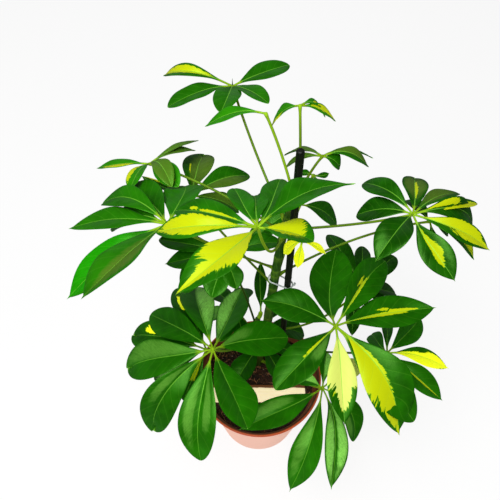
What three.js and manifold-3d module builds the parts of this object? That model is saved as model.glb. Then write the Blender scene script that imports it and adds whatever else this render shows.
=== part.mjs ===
// Potted umbrella plant: a variegated dwarf schefflera tied to a thin stake in a 13 cm nursery pot.
// Millimetres, +Z up. The origin is the middle of the pot's underside. -Y is the side with the tag,
// +X is to the right when the plant is seen from that side.
import * as THREE from "three";
import { mergeVertices } from "three/addons/utils/BufferGeometryUtils.js";
import Module from "manifold-3d";

const wasm = await Module();
wasm.setup();

// Pot: a thin thermoformed cone with a stiffening band at the rim and drain holes in the base.
const POT_HEIGHT = 113;
const RIM_RADIUS = 65;
const BASE_RADIUS = 44;
const WALL = 1.6;
const BASE_THICKNESS = 2.4;
const RIM_BAND_HEIGHT = 14;
const RIM_BAND_STEP = 1.6;
const LIP_THICKNESS = 1.8;
const LIP_HEIGHT = 1.8;
const LIP_ROUNDING = 0.5;
const BAND_SHOULDER = 1;
const POT_SIDES = 40;
const DRAIN_HOLES = 8;
const DRAIN_RING_RADIUS = 31;
const DRAIN_RADIUS = 4.5;
const DRAIN_SIDES = 10;

// Clearance between pieces that touch on the real plant.
const GAP = 0.3;

// Soil: fills the pot to a little below the rim.
const SOIL_TOP = POT_HEIGHT - 12;
const SOIL_LUMP = 1.3;
const SOIL_EDGE_DROP = 3;
const SOIL_RING_SHARES = [0.94, 0.74, 0.48, 0.22];

// Stake: a black plastic cane pushed deep into the soil.
const STAKE_RADIUS = 3;
const STAKE_PLACE = [22.8, 20.2];
const STAKE_TOP = 427;
const STAKE_FOOT = 24;
const STAKE_SIDES = 14;

// Tag: a thin pale wooden strip lying across the soil.
const TAG_LENGTH = 99;
const TAG_WIDTH = 18;
const TAG_THICKNESS = 2;
const TAG_TILT = 8;
const TAG_PLACE = [-1.5, -17, SOIL_TOP + 2.6];

// Stems, each a row of [x, y, z, radius] from the root end to the tip.
const MAIN_STEM = [
  [-2, 20, SOIL_TOP - 40, 4.6],
  [-1, 20, SOIL_TOP, 4.6],
  [5, 21, 165, 4.3],
  [9, 22, 225, 4.1],
  [13.5, 24, 299, 3.6],
  [16, 27.5, 322, 3.2],
  [19.5, 33, 343, 2.6],
  [27, 35, 366, 1.9],
];
const SHORT_STEM = [
  [-14, 25, SOIL_TOP - 34, 3.2],
  [-13, 25, SOIL_TOP, 3.2],
  [-7, 26, 150, 2.9],
  [-2, 27, 190, 2.4],
];

// Tie: a loop of thin clear plastic wire that holds the main stem to the stake, higher at the stem.
const TIE_STEM_HEIGHT = 269;
const TIE_STAKE_HEIGHT = 262;
const TIE_WIRE_RADIUS = 0.8;
const TIE_STEPS = 28;
const TIE_SIDES = 6;

// Leaves: every leaf is a long petiole with leaflets round its end like the ribs of an umbrella.
const BLADE_THICKNESS = 0.8;
const BLADE_ARCH = 0.07;
const BLADE_FOLD = 12;
const STALK_SHARE = 0.1;
const STALK_RADIUS = 0.85;
const PETIOLE_FOOT_RADIUS = 1.9;
const PETIOLE_RADIUS = 1.1;
const PETIOLE_SIDES = 6;
const PETIOLE_STEPS = 5;
const STEM_SIDES = 8;
const STEM_STEPS_PER_ROW = 2;
const HUB_RADIUS = 2.1;

// One leaf per row. foot and hub are the petiole's ends and knee is the point it bends towards.
// lean is the way the ring of leaflets tips over: bearing, then degrees from level. A leaflet is
// [bearing, rise, length, width, tip, roll, bow, arch]: bearing in degrees clockwise from +Y seen
// from above, rise in degrees over the level (negative droops), length in mm from the hub to the
// tip, width in mm, roll in degrees about its own length, and how far the midrib stands sideways
// (bow) and up (arch) from the straight line at its middle, as shares of the length.
const LEAVES = [
  {
    name: "leaf_top_left",
    foot: [18, 31, 336],
    knee: [-7, 80, 362],
    hub: [-24, 127, 390],
    lean: [-10, 20],
    leaflets: [
      [-68, -8, 62, 15, "point", -24, -0.12, 0.28],
      [-113, -3, 55, 22, "round", -13, 0.02],
      [-171, 17, 50, 21, "round", -4, -0.04, 0.1],
      [145, 19, 51, 16, "round", 5, 0.03, 0.09],
      [58, -2, 55, 21, "round", 21, -0.01, 0.03],
    ],
  },
  {
    name: "leaf_top_young",
    foot: [24, 34, 358],
    knee: [14, 52, 392],
    hub: [1, 62, 420],
    lean: [0, 0],
    leaflets: [[-86, -19, 45, 13, "point", -2, 0.05, 0.11]],
  },
  {
    name: "leaf_top_shoot",
    foot: [27, 35, 366],
    knee: [27, 54, 392],
    hub: [25, 68, 422],
    lean: [0, 0],
    leaflets: [
      [-79, -50, 30, 15, "point", 3, 0.14, 0.08],
      [83, -33, 32, 12, "point", -2, -0.09, 0.07],
      [65, -41, 29, 10, "point", 0, -0.14, 0.17],
    ],
  },
  {
    name: "leaf_back_right",
    foot: [23, 34, 353],
    knee: [34, 56, 366],
    hub: [48, 81, 358],
    lean: [30, 20],
    leaflets: [
      [-56, -29, 40, 12, "round", -4, 0.08, 0.1],
      [-76, -36, 36, 10, "round", -22, 0.06, 0.1],
      [102, -33, 18, 16, "round", 25, -0.02, 0.15],
      [90, -18, 40, 13, "point", 24, -0.08, 0.2],
      [78, -15, 45, 9, "point", -10, -0.08, 0.11],
    ],
  },
  {
    name: "leaf_back_right_young",
    foot: [21, 33.6, 348],
    knee: [32, 54, 346],
    hub: [42, 76, 341],
    lean: [0, 0],
    leaflets: [
      [-65, -14, 14, 8, "point"],
      [72, -10, 14, 6, "point", 10, 0.1, 0],
      [160, -10, 16, 6, "point"],
    ],
  },
  {
    name: "leaf_back_left",
    foot: [16, 28, 326],
    knee: [-36, 62, 346],
    hub: [-92, 83, 347],
    lean: [-48, 22],
    leaflets: [
      [-83, -14, 47, 14, "point", 1, -0.03],
      [-167, 19, 42, 15, "round", -1, -0.02, 0.11],
      [47, -9, 51, 10, "point", 0, 0.06, 0.09],
      [56, -12, 43, 12, "point", 11, 0, 0.13],
      [148, 17, 44, 15, "round", -1, -0.07, 0.2],
      [140, 12, 43, 19, "round", 11, -0.04, 0.1],
    ],
  },
  {
    name: "leaf_left",
    foot: [12.5, 23.5, 282],
    knee: [-34, 18, 318],
    hub: [-69, 4, 369],
    lean: [-90, 5],
    leaflets: [
      [-34, -16, 66, 29, "round", -3, 0.03, 0.01],
      [7, -23, 63, 32, "round", -6, 0.08],
      [-58, -16, 67, 21, "round", -5, 0.1, 0.14],
      [-87, -8, 72, 23, "point", 8, 0.08, 0.03],
      [-67, -33, 63, 23, "point", -9, 0.08, 0.13],
      [-126, -14, 84, 29, "point", 3, 0.01, 0.09],
      [-142, 3, 79, 35, "point", 24, -0.08, 0.08],
    ],
  },
  {
    name: "leaf_left_inner",
    foot: [11, 23, 256],
    knee: [-26, 48, 282],
    hub: [-60, 68, 324],
    lean: [-20, 10],
    leaflets: [
      [-56, -9, 54, 8, "point", -7, -0.07, 0.05],
      [10, -5, 54, 28, "notch"],
      [61, -5, 57, 23, "round", 12, -0.05, 0.08],
      [96, -22, 44, 19, "round", 0, -0.04, 0.1],
    ],
  },
  {
    name: "leaf_front_top",
    foot: [16, 27.5, 322],
    knee: [4, -14, 338],
    hub: [-5, -26, 405],
    lean: [0, 0],
    leaflets: [
      [16, -18, 64, 20, "round", -11, 0.03, 0.02],
      [70, 14, 66, 30, "long", -19, -0.04, 0.11],
      [112, 6, 37, 30, "round", -24, -0.06, 0.02],
      [-83, -14, 70, 18, "point", -10, -0.06, 0.2],
      [-138, 5, 70, 27, "point", 10, -0.1, 0.13],
      [-64, -15, 64, 22, "round"],
      [-20, -16, 49, 18, "round", 16, -0.04, 0.04],
      [-3, -24, 46, 18, "round"],
    ],
  },
  {
    name: "leaf_hanging_young",
    foot: [18, 30.6, 334],
    knee: [40, 24, 340],
    hub: [29, 8, 344],
    lean: [0, 0],
    leaflets: [
      [-101, -45, 19, 11, "point", 0, 0, 0.1],
      [-168, -45, 21, 8, "point"],
      [103, -31, 22, 8, "point", -10],
    ],
  },
  {
    name: "leaf_right",
    foot: [17, 29, 330],
    knee: [80, 28, 336],
    hub: [119, 40, 335],
    lean: [0, 0],
    leaflets: [
      [-36, -14, 57, 20, "round", -14, 0.04, 0.14],
      [-69, -26, 48, 23, "round", -11, 0.07, 0.08],
      [-142, 0, 56, 27, "point", 10, -0.04, 0.18],
      [14, -16, 57, 22, "notch"],
      [56, -11, 56, 18, "round", -18, -0.04, 0.08],
      [73, -7, 60, 14, "round", -12, 0.03, 0.08],
      [82, -20, 59, 20, "round", 30, -0.12, 0.18],
      [112, -13, 65, 19, "point", 11, 0, 0.12],
      [151, -17, 60, 24, "point", 24, 0.03, 0.07],
    ],
  },
  {
    name: "leaf_right_under",
    foot: [11.7, 23.2, 270],
    knee: [80, 51, 300],
    hub: [146, 63, 296],
    lean: [60, 10],
    leaflets: [
      [99, -41, 26, 10, "point", 25, -0.05, 0.12],
      [131, -16, 48, 16, "point", 3, -0.06, 0.13],
      [-20, -20, 40, 18, "round"],
      [175, -35, 34, 14, "round"],
    ],
  },
  {
    name: "leaf_front_right",
    foot: [1.6, 20.4, 128],
    knee: [36, -22, 170],
    hub: [57, -35, 289],
    lean: [0, 0],
    leaflets: [
      [-76, 14, 61, 28, "point", -5, 0.02, 0.12],
      [6, -9, 84, 36, "round", -5, -0.06, -0.09],
      [36, -6, 84, 28, "round", 26, -0.04, 0.02],
      [75, -7, 87, 31, "point", 0, -0.07, -0.07],
      [-137, -1, 71, 30, "round", 16, -0.06, 0.11],
      [177, -18, 73, 23, "point"],
      [148, -22, 92, 37, "point", 14, -0.12, 0.14],
      [139, -18, 92, 32, "round", 5, 0],
    ],
  },
  {
    name: "leaf_low_right",
    foot: [3, 20.6, 140],
    knee: [60, 0, 164],
    hub: [118, -13, 194],
    lean: [0, 0],
    leaflets: [
      [-13, -35, 39, 16, "notch", -22, -0.02],
      [11, -26, 52, 11, "round"],
      [43, -9, 59, 24, "round", 26, 0.01, 0.03],
      [100, -11, 59, 20, "point", -6, -0.04, 0.08],
      [133, -8, 62, 25, "point", -8, 0.02, 0.06],
    ],
  },
  {
    name: "leaf_front_left",
    foot: [5, 21, 165],
    knee: [-28, -14, 190],
    hub: [-42, -28, 233],
    lean: [0, 0],
    leaflets: [
      [-15, -21, 92, 32, "round", 8, -0.04, 0.08],
      [17, -21, 91, 27, "round", -4, 0, -0.02],
      [70, -20, 76, 33, "round", 21, -0.05, -0.07],
      [156, -5, 74, 38, "round", -28, 0.02, 0.03],
      [-173, -29, 94, 34, "round", 10, 0.03, 0.11],
      [-134, -36, 95, 32, "notch", -32, 0.14, 0.16],
      [-90, -26, 91, 35, "notch", -16, 0.01, 0.09],
      [-50, -23, 91, 29, "round", -21, 0.02, 0.04],
    ],
  },
  {
    name: "leaf_left_low",
    foot: [-7, 26, 150],
    knee: [-36, 0, 172],
    hub: [-50, -15, 205],
    lean: [0, 0],
    leaflets: [
      [-69, -19, 86, 30, "notch", -16, 0.03, 0.1],
      [-24, -9, 82, 28, "round", 5],
      [-103, -35, 65, 24, "round"],
      [-151, -34, 52, 20, "round"],
    ],
  },
  {
    name: "leaf_low_front",
    foot: [-0.7, 20.2, 110],
    knee: [40, -14, 122],
    hub: [60, -32, 156],
    lean: [0, 0],
    leaflets: [
      [-117, 0, 88, 29, "point", 4, -0.05, 0.08],
      [-159, -26, 99, 30, "point", 21, -0.12, 0.17],
      [179, -2, 91, 25, "point", -20, -0.07, 0.06],
      [148, -19, 57, 24, "round", -12, -0.14, 0.17],
      [11, -9, 42, 13, "round"],
      [-58, -28, 28, 14, "round", 0, 0.05, 0.1],
      [54, -7, 52, 20, "round", 4],
    ],
  },
  {
    name: "leaf_right_inner",
    foot: [5.8, 21.2, 178],
    knee: [52, 14, 180],
    hub: [93, 35, 228],
    lean: [0, 0],
    leaflets: [
      [-23, 3, 67, 22, "round", 14, -0.04, 0.13],
      [9, -8, 57, 16, "round"],
      [43, -6, 58, 22, "round"],
      [72, -34, 51, 20, "round"],
      [94, -45, 45, 18, "round"],
      [-167, -32, 43, 14, "point", 3, 0.05],
    ],
  },
  {
    name: "leaf_centre_left",
    foot: [-4, 26.7, 172],
    knee: [-14, 27, 240],
    hub: [-30, 27, 296],
    lean: [0, 0],
    leaflets: [
      [-75, 2, 59, 21, "round", 3],
      [-91, -12, 52, 22, "point"],
      [-126, -19, 47, 24, "round", 0, 0.08, 0.12],
      [163, -5, 32, 17, "round"],
      [-163, -12, 38, 22, "round"],
      [79, 7, 48, 20, "round", -7, -0.03, 0.09],
    ],
  },
  {
    name: "leaf_centre_back",
    foot: [-6, 26.2, 158],
    knee: [-14, 32, 172],
    hub: [-22, 33, 190],
    lean: [0, 0],
    leaflets: [
      [-36, -21, 47, 20, "round"],
      [10, -27, 45, 20, "round"],
      [-79, -35, 43, 18, "round"],
      [-150, -7, 35, 16, "round"],
      [170, -8, 31, 16, "round"],
    ],
  },
  {
    name: "leaf_centre_low",
    foot: [-11.8, 25.2, 115],
    knee: [-8, 14, 140],
    hub: [1, 6, 171],
    lean: [0, 0],
    leaflets: [
      [-146, -8, 45, 26, "round", 18],
      [150, -7, 43, 24, "round", -22],
      [92, -20, 36, 16, "round"],
    ],
  },
  {
    name: "leaf_centre_right",
    foot: [-7, 26, 150],
    knee: [-4, 32, 154],
    hub: [2, 34, 158],
    lean: [0, 0],
    leaflets: [
      [88, -25, 50, 28, "round", -7],
      [30, -15, 40, 17, "round"],
    ],
  },
  {
    name: "leaf_centre_upright",
    foot: [-2, 27, 189],
    knee: [0, 28, 190],
    hub: [0.5, 31, 193],
    lean: [0, 0],
    leaflets: [[-1, 57, 53, 13, "point", 20, -0.04]],
  },
  {
    name: "leaf_back_centre",
    foot: [10, 22.4, 240],
    knee: [24, 66, 262],
    hub: [36, 94, 281],
    lean: [0, 0],
    leaflets: [
      [86, -42, 51, 22, "round", 15, -0.09, 0.05],
      [-123, -20, 62, 20, "round"],
      [-60, -20, 50, 20, "round"],
      [0, -20, 50, 20, "round"],
    ],
  },
];

// Half the width of a leaflet at shares of its length from the hub, over half its full width.
// The first two rows are the leaflet's own stalk, whose half width is STALK_RADIUS.
const OUTLINE = [
  [0, 0],
  [STALK_SHARE, 0],
  [0.3, 0.7],
  [0.6, 1],
];
// The same for each kind of tip at the share of its shoulder, and at the very tip.
const SHOULDER_SHARE = 0.86;
const TIPS = { round: [0.77, 0.34], point: [0.68, 0.06], notch: [0.8, 0.5], long: [0.38, 0.04] };
const NOTCH_DEPTH = 0.07;

const toRadians = THREE.MathUtils.degToRad;
const at = (row) => new THREE.Vector3(row[0], row[1], row[2]);

// The direction of a bearing (clockwise from +Y) and a rise over the level, both in degrees.
function heading(bearing, rise) {
  const b = toRadians(bearing);
  const e = toRadians(rise);
  return new THREE.Vector3(Math.sin(b) * Math.cos(e), Math.cos(b) * Math.cos(e), Math.sin(e));
}

// A closed geometry as a solid, with its shared vertices merged.
function solidOf(geometry) {
  geometry.deleteAttribute("normal");
  geometry.deleteAttribute("uv");
  const merged = mergeVertices(geometry, 1e-4);
  const mesh = new wasm.Mesh({
    numProp: 3,
    vertProperties: new Float32Array(merged.attributes.position.array),
    triVerts: new Uint32Array(merged.index.array),
  });
  return new wasm.Manifold(mesh);
}

function geometryOf(solid) {
  const mesh = solid.getMesh();
  const geometry = new THREE.BufferGeometry();
  geometry.setAttribute("position", new THREE.BufferAttribute(mesh.vertProperties, 3));
  geometry.setIndex(new THREE.BufferAttribute(mesh.triVerts, 1));
  const flat = geometry.toNonIndexed();
  flat.computeVertexNormals();
  return flat;
}

// The largest body of a solid: a scrap left by a cut is dropped.
function largestBody(solid) {
  const bodies = solid.decompose();
  return bodies.reduce((best, body) => (body.volume() > best.volume() ? body : best));
}

// Rings of equal vertex count joined into one closed skin, with a fan of triangles at each end.
function skinOf(rings) {
  const sides = rings[0].length;
  const positions = rings.flat().flatMap((p) => [p.x, p.y, p.z]);
  const faces = [];
  for (let r = 0; r + 1 < rings.length; r++) {
    for (let k = 0; k < sides; k++) {
      const a = r * sides + k;
      const b = r * sides + ((k + 1) % sides);
      faces.push(a, b, b + sides, a, b + sides, a + sides);
    }
  }
  const last = (rings.length - 1) * sides;
  for (let k = 1; k + 1 < sides; k++) {
    faces.push(0, k + 1, k, last, last + k, last + k + 1);
  }
  const geometry = new THREE.BufferGeometry();
  geometry.setAttribute("position", new THREE.Float32BufferAttribute(positions, 3));
  geometry.setIndex(faces);
  return geometry;
}

// A round rod along a curve whose radius changes from one end to the other.
function rodAlong(curve, steps, sides, radiusAt) {
  const frames = curve.computeFrenetFrames(steps, false);
  const rings = [];
  for (let i = 0; i <= steps; i++) {
    const centre = curve.getPointAt(i / steps);
    const ring = [];
    for (let k = 0; k < sides; k++) {
      const turn = (2 * Math.PI * k) / sides;
      const out = frames.normals[i]
        .clone()
        .multiplyScalar(Math.cos(turn))
        .addScaledVector(frames.binormals[i], Math.sin(turn));
      ring.push(centre.clone().addScaledVector(out, radiusAt(i / steps)));
    }
    rings.push(ring);
  }
  return skinOf(rings);
}

function materialOf(color, roughness) {
  return new THREE.MeshStandardMaterial({ color, roughness, metalness: 0 });
}

const TERRACOTTA = materialOf("#c9694a", 0.45);
const PEAT = materialOf("#2c1a12", 0.95);
const BARK_GREEN = materialOf("#7c8f4e", 0.6);
const LEAF_GREEN = materialOf("#2a7a12", 0.3);
const BLACK_PLASTIC = materialOf("#151713", 0.4);
const CLEAR_PLASTIC = materialOf("#b9c0bd", 0.25);
const PALE_WOOD = materialOf("#efdcae", 0.7);

const plant = new THREE.Group();

function addPiece(name, solid, material) {
  const mesh = new THREE.Mesh(geometryOf(solid), material);
  mesh.name = name;
  plant.add(mesh);
}

// The pot's outer radius at a height, without the rim band.
function potRadius(z) {
  return THREE.MathUtils.lerp(BASE_RADIUS, RIM_RADIUS - RIM_BAND_STEP - LIP_THICKNESS, z / POT_HEIGHT);
}

function makePot() {
  const bandFoot = POT_HEIGHT - RIM_BAND_HEIGHT;
  const bandRadius = potRadius(bandFoot) + RIM_BAND_STEP;
  const lipFoot = POT_HEIGHT - LIP_ROUNDING - LIP_HEIGHT;
  const outline = [
    [0, 0],
    [BASE_RADIUS, 0],
    [potRadius(bandFoot), bandFoot],
    [bandRadius, bandFoot + BAND_SHOULDER],
    [RIM_RADIUS - LIP_THICKNESS, lipFoot - LIP_ROUNDING],
    [RIM_RADIUS, lipFoot],
    [RIM_RADIUS, POT_HEIGHT - LIP_ROUNDING],
    [RIM_RADIUS - LIP_ROUNDING, POT_HEIGHT],
    [RIM_RADIUS - LIP_THICKNESS - WALL, POT_HEIGHT],
    [bandRadius - WALL, bandFoot + WALL + BAND_SHOULDER],
    [potRadius(bandFoot) - WALL, bandFoot + BAND_SHOULDER],
    [potRadius(BASE_THICKNESS) - WALL, BASE_THICKNESS],
    [0, BASE_THICKNESS],
  ];
  const shell = new THREE.LatheGeometry(
    outline.map(([x, y]) => new THREE.Vector2(x, y)),
    POT_SIDES,
  );
  shell.rotateX(Math.PI / 2);
  let pot = solidOf(shell);
  for (let i = 0; i < DRAIN_HOLES; i++) {
    const turn = (2 * Math.PI * i) / DRAIN_HOLES;
    const x = DRAIN_RING_RADIUS * Math.cos(turn);
    const y = DRAIN_RING_RADIUS * Math.sin(turn);
    const depth = 3 * BASE_THICKNESS;
    const hole = new THREE.CylinderGeometry(DRAIN_RADIUS, DRAIN_RADIUS, depth, DRAIN_SIDES);
    hole.rotateX(Math.PI / 2);
    hole.translate(x, y, 0);
    pot = pot.subtract(solidOf(hole));
  }
  return pot;
}

// Lumps of the soil's top: two crossed waves of unlike length, none at the middle or the edge.
function soilLump(x, y) {
  return SOIL_LUMP * Math.sin(x / 7 + 1.3 * Math.sin(y / 11)) * Math.cos(y / 8 - x / 19);
}

function makeSoil() {
  const wallRadius = (z) => potRadius(z) - WALL - GAP;
  const floor = BASE_THICKNESS + GAP;
  const edge = SOIL_TOP - SOIL_EDGE_DROP;
  const ringOf = (radius, height) => {
    const ring = [];
    for (let k = 0; k < POT_SIDES; k++) {
      const turn = (2 * Math.PI * k) / POT_SIDES;
      const x = radius * Math.cos(turn);
      const y = radius * Math.sin(turn);
      ring.push(new THREE.Vector3(x, y, height(x, y)));
    }
    return ring;
  };
  const rings = [
    ringOf(wallRadius(floor), () => floor),
    ringOf(wallRadius(edge), () => edge),
  ];
  for (const share of SOIL_RING_SHARES) {
    const height = (x, y) => SOIL_TOP - SOIL_EDGE_DROP * share ** 8 + soilLump(x, y);
    rings.push(ringOf(share * wallRadius(edge), height));
  }
  return solidOf(skinOf(rings));
}

function stemCurve(rows) {
  return new THREE.CatmullRomCurve3(rows.map(at), false, "centripetal");
}

// A stem's radius along its length, from the radii of its rows; extra widens it for a clear hole.
function stemSolid(rows, extra) {
  const radiusAt = (share) => {
    const place = share * (rows.length - 1);
    const row = Math.min(Math.floor(place), rows.length - 2);
    return extra + THREE.MathUtils.lerp(rows[row][3], rows[row + 1][3], place - row);
  };
  const steps = STEM_STEPS_PER_ROW * (rows.length - 1);
  return solidOf(rodAlong(stemCurve(rows), steps, STEM_SIDES, radiusAt));
}

function makeStake(extra) {
  const height = STAKE_TOP - STAKE_FOOT + 2 * extra;
  const radius = STAKE_RADIUS + extra;
  const rod = new THREE.CylinderGeometry(radius, radius, height, STAKE_SIDES);
  rod.rotateX(Math.PI / 2);
  rod.translate(STAKE_PLACE[0], STAKE_PLACE[1], (STAKE_TOP + STAKE_FOOT) / 2);
  return solidOf(rod);
}

function makeTag(extra) {
  const size = [TAG_LENGTH, TAG_WIDTH, TAG_THICKNESS].map((side) => side + 2 * extra);
  const strip = new THREE.BoxGeometry(...size);
  strip.rotateX(toRadians(TAG_TILT));
  strip.translate(...TAG_PLACE);
  return solidOf(strip);
}

// The loop round stem and stake: a half turn at each, joined by straight sloping runs.
function makeTie() {
  const stem = stemPlaceAt(MAIN_STEM, TIE_STEM_HEIGHT);
  const stake = { x: STAKE_PLACE[0], y: STAKE_PLACE[1], z: TIE_STAKE_HEIGHT, radius: STAKE_RADIUS };
  const facing = Math.atan2(stake.y - stem.y, stake.x - stem.x);
  const points = [];
  for (const [end, start] of [[stake, -90], [stem, 90]]) {
    const reach = end.radius + TIE_WIRE_RADIUS + 2 * GAP;
    for (let turn = start; turn <= start + 180; turn += 30) {
      const angle = facing + toRadians(turn);
      const x = end.x + reach * Math.cos(angle);
      const y = end.y + reach * Math.sin(angle);
      points.push(new THREE.Vector3(x, y, end.z));
    }
  }
  const loop = new THREE.CatmullRomCurve3(points, true, "centripetal");
  const section = circleShape(TIE_WIRE_RADIUS, TIE_SIDES);
  return solidOf(new THREE.ExtrudeGeometry(section, { steps: TIE_STEPS, extrudePath: loop }));
}

// The middle and radius of a stem at a height, on the straight line between its rows.
function stemPlaceAt(rows, z) {
  const row = rows.findLastIndex((place) => place[2] <= z);
  const share = (z - rows[row][2]) / (rows[row + 1][2] - rows[row][2]);
  const next = rows[row + 1];
  const [x, y, , radius] = rows[row].map((from, i) => THREE.MathUtils.lerp(from, next[i], share));
  return { x, y, z, radius };
}

function circleShape(radius, sides) {
  const points = [];
  for (let k = 0; k < sides; k++) {
    const turn = (2 * Math.PI * k) / sides;
    points.push(new THREE.Vector2(radius * Math.cos(turn), radius * Math.sin(turn)));
  }
  return new THREE.Shape(points);
}

// One leaflet: rings of six points (edge, midrib, edge on the upper face, then back below) carried
// along a midrib that arches over its chord, with the halves folded up a little from the midrib.
function leafletSolid(hub, lean, row) {
  const [bearing, rise, length, width, tip, roll = 0, bow = 0, arch = BLADE_ARCH] = row;
  const ahead = heading(bearing, rise);
  const level = heading(lean[0], 90 - lean[1]);
  const side = ahead.clone().cross(level).normalize().applyAxisAngle(ahead, toRadians(roll));
  const up = side.clone().cross(ahead);
  const [shoulder, end] = TIPS[tip];
  const stations = [...OUTLINE, [SHOULDER_SHARE, shoulder], [1, end]];
  const fold = toRadians(BLADE_FOLD);
  const rings = stations.map(([share, half], i) => {
    const isStalk = i < 2;
    const halfWidth = isStalk ? STALK_RADIUS : (half * width) / 2;
    const halfThickness = isStalk ? STALK_RADIUS : BLADE_THICKNESS / 2;
    const notch = tip === "notch" && share === 1 ? NOTCH_DEPTH : 0;
    const point = (column, face) => {
      const along = column === 0 ? share - notch : share;
      const bend = 4 * length * along * (1 - along);
      const lift = isStalk ? 0 : Math.abs(column) * halfWidth * Math.sin(fold);
      return hub
        .clone()
        .addScaledVector(ahead, length * along)
        .addScaledVector(side, bow * bend + column * halfWidth * (isStalk ? 1 : Math.cos(fold)))
        .addScaledVector(up, arch * bend + lift + face * halfThickness);
    };
    return [point(-1, 1), point(0, 1), point(1, 1), point(1, -1), point(0, -1), point(-1, -1)];
  });
  return solidOf(skinOf(rings));
}

function makeLeaf({ foot, knee, hub, lean, leaflets }) {
  const path = new THREE.QuadraticBezierCurve3(at(foot), at(knee), at(hub));
  const radiusAt = (share) => {
    return THREE.MathUtils.lerp(PETIOLE_FOOT_RADIUS, PETIOLE_RADIUS, Math.min(1, 4 * share));
  };
  let leaf = solidOf(rodAlong(path, PETIOLE_STEPS, PETIOLE_SIDES, radiusAt));
  const knuckle = new THREE.IcosahedronGeometry(HUB_RADIUS, 0);
  knuckle.translate(...hub);
  leaf = leaf.add(solidOf(knuckle));
  for (const leaflet of leaflets) {
    leaf = leaf.add(leafletSolid(at(hub), lean, leaflet));
  }
  return leaf;
}

const mainStem = stemSolid(MAIN_STEM, 0);
const mainStemSpace = stemSolid(MAIN_STEM, GAP);
const shortStemSpace = stemSolid(SHORT_STEM, GAP);
const stakeSpace = makeStake(GAP);

addPiece("pot", makePot(), TERRACOTTA);
const soil = makeSoil()
  .subtract(mainStemSpace)
  .subtract(shortStemSpace)
  .subtract(stakeSpace)
  .subtract(makeTag(GAP));
addPiece("soil", largestBody(soil), PEAT);
addPiece("stake", makeStake(0), BLACK_PLASTIC);
addPiece("tag", makeTag(0), PALE_WOOD);
addPiece("main_stem", mainStem, BARK_GREEN);
addPiece("short_stem", stemSolid(SHORT_STEM, 0).subtract(mainStemSpace), BARK_GREEN);
addPiece("tie", makeTie(), CLEAR_PLASTIC);
for (const leaf of LEAVES) {
  const solid = makeLeaf(leaf).subtract(mainStemSpace).subtract(shortStemSpace).subtract(stakeSpace);
  addPiece(leaf.name, largestBody(solid), LEAF_GREEN);
}

export default plant;
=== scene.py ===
"""Potted umbrella plant: the looks of each piece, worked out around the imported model.

+Z is up and the origin is the middle of the pot's underside. Shapes are in millimetres and turned
to metres where a mesh is made; camera, lights, floor and the places in materials are in metres. The
file follows the plant as it is put together: pot, soil, stems, stake, tie, tag and leaves.
"""

import math

import bmesh
import bpy
import numpy as np
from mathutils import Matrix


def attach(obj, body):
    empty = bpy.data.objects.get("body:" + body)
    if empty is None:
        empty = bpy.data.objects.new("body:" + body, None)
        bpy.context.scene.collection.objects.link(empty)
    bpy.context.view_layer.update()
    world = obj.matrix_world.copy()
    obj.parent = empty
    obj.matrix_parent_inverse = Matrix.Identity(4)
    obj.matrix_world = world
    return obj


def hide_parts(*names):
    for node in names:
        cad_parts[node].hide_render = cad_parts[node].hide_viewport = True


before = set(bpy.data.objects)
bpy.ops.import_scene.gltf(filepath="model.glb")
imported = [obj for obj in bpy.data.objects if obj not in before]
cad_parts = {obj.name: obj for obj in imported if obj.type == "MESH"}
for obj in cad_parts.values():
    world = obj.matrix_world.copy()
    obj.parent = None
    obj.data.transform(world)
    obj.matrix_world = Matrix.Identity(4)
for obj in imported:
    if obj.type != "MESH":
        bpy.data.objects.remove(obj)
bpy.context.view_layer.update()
scene = bpy.context.scene


# Camera: it looks down on the plant from the side with the tag, 55 degrees below the level, from
# about 0.75 m away. A 43.2 mm lens on a 36 mm wide sensor takes in 45 degrees.
CAMERA_PLACE = (-0.010, -0.2555, 0.708)
CAMERA_DOWN = 55


def add_object(name, data, material=None):
    """An object of the scene at the origin, with its material if it is a mesh."""
    if material:
        data.materials.append(material)
    thing = bpy.data.objects.new(name, data)
    scene.collection.objects.link(thing)
    return thing


camera_data = bpy.data.cameras.new("camera")
camera_data.lens = 43.2
camera_data.sensor_width = 36
camera_data.clip_start = 0.01
camera = add_object("camera", camera_data)
camera.location = CAMERA_PLACE
camera.rotation_euler = (math.radians(90 - CAMERA_DOWN), 0, 0)
scene.camera = camera
scene.view_settings.view_transform = "Standard"


# Light: a broad soft panel over the plant, a weak one low behind it, whose shine lies on the
# leaflets that point away, and one in front on the left. A dim white room fills the shadows.
ROOM_LIGHT = 0.10
PLANT_MIDDLE = (0, 0, 0.2)
PANELS = [
    ("panel_above", (-0.25, -0.2, 1.8), 0.8, 16),
    ("panel_behind", (-0.3, 1.7, 0.75), 1.3, 1),
    ("panel_in_front", (-0.4, -0.8, 1.6), 0.9, 19),
]


def connect(node, inputs):
    """Sets or links a node's inputs by name or number."""
    for key, value in inputs.items():
        if isinstance(value, bpy.types.NodeSocket):
            node.id_data.links.new(value, node.inputs[key])
        else:
            node.inputs[key].default_value = value


room = bpy.data.worlds.new("room")
room.use_nodes = True
connect(room.node_tree.nodes["Background"], {"Color": (1, 1, 1, 1), "Strength": ROOM_LIGHT})
scene.world = room
for name, place, size, power in PANELS:
    panel = bpy.data.lights.new(name, "AREA")
    panel.shape = "SQUARE"
    panel.size = size
    panel.energy = power
    lamp = add_object(name, panel)
    lamp.location = place
    x, y, z = np.subtract(PLANT_MIDDLE, place)
    lamp.rotation_euler = (math.atan2(math.hypot(x, y), -z), 0, math.atan2(-x, y))


# Floor: a plain white sheet that the pot stands on, lit evenly from within so that it has next to
# no shade of its own. Glossy leaves don't mirror it.
FLOOR_REACH = 4
FLOOR_COLOUR = (0.14, 0.14, 0.14)
FLOOR_GLOW = 0.845


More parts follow.
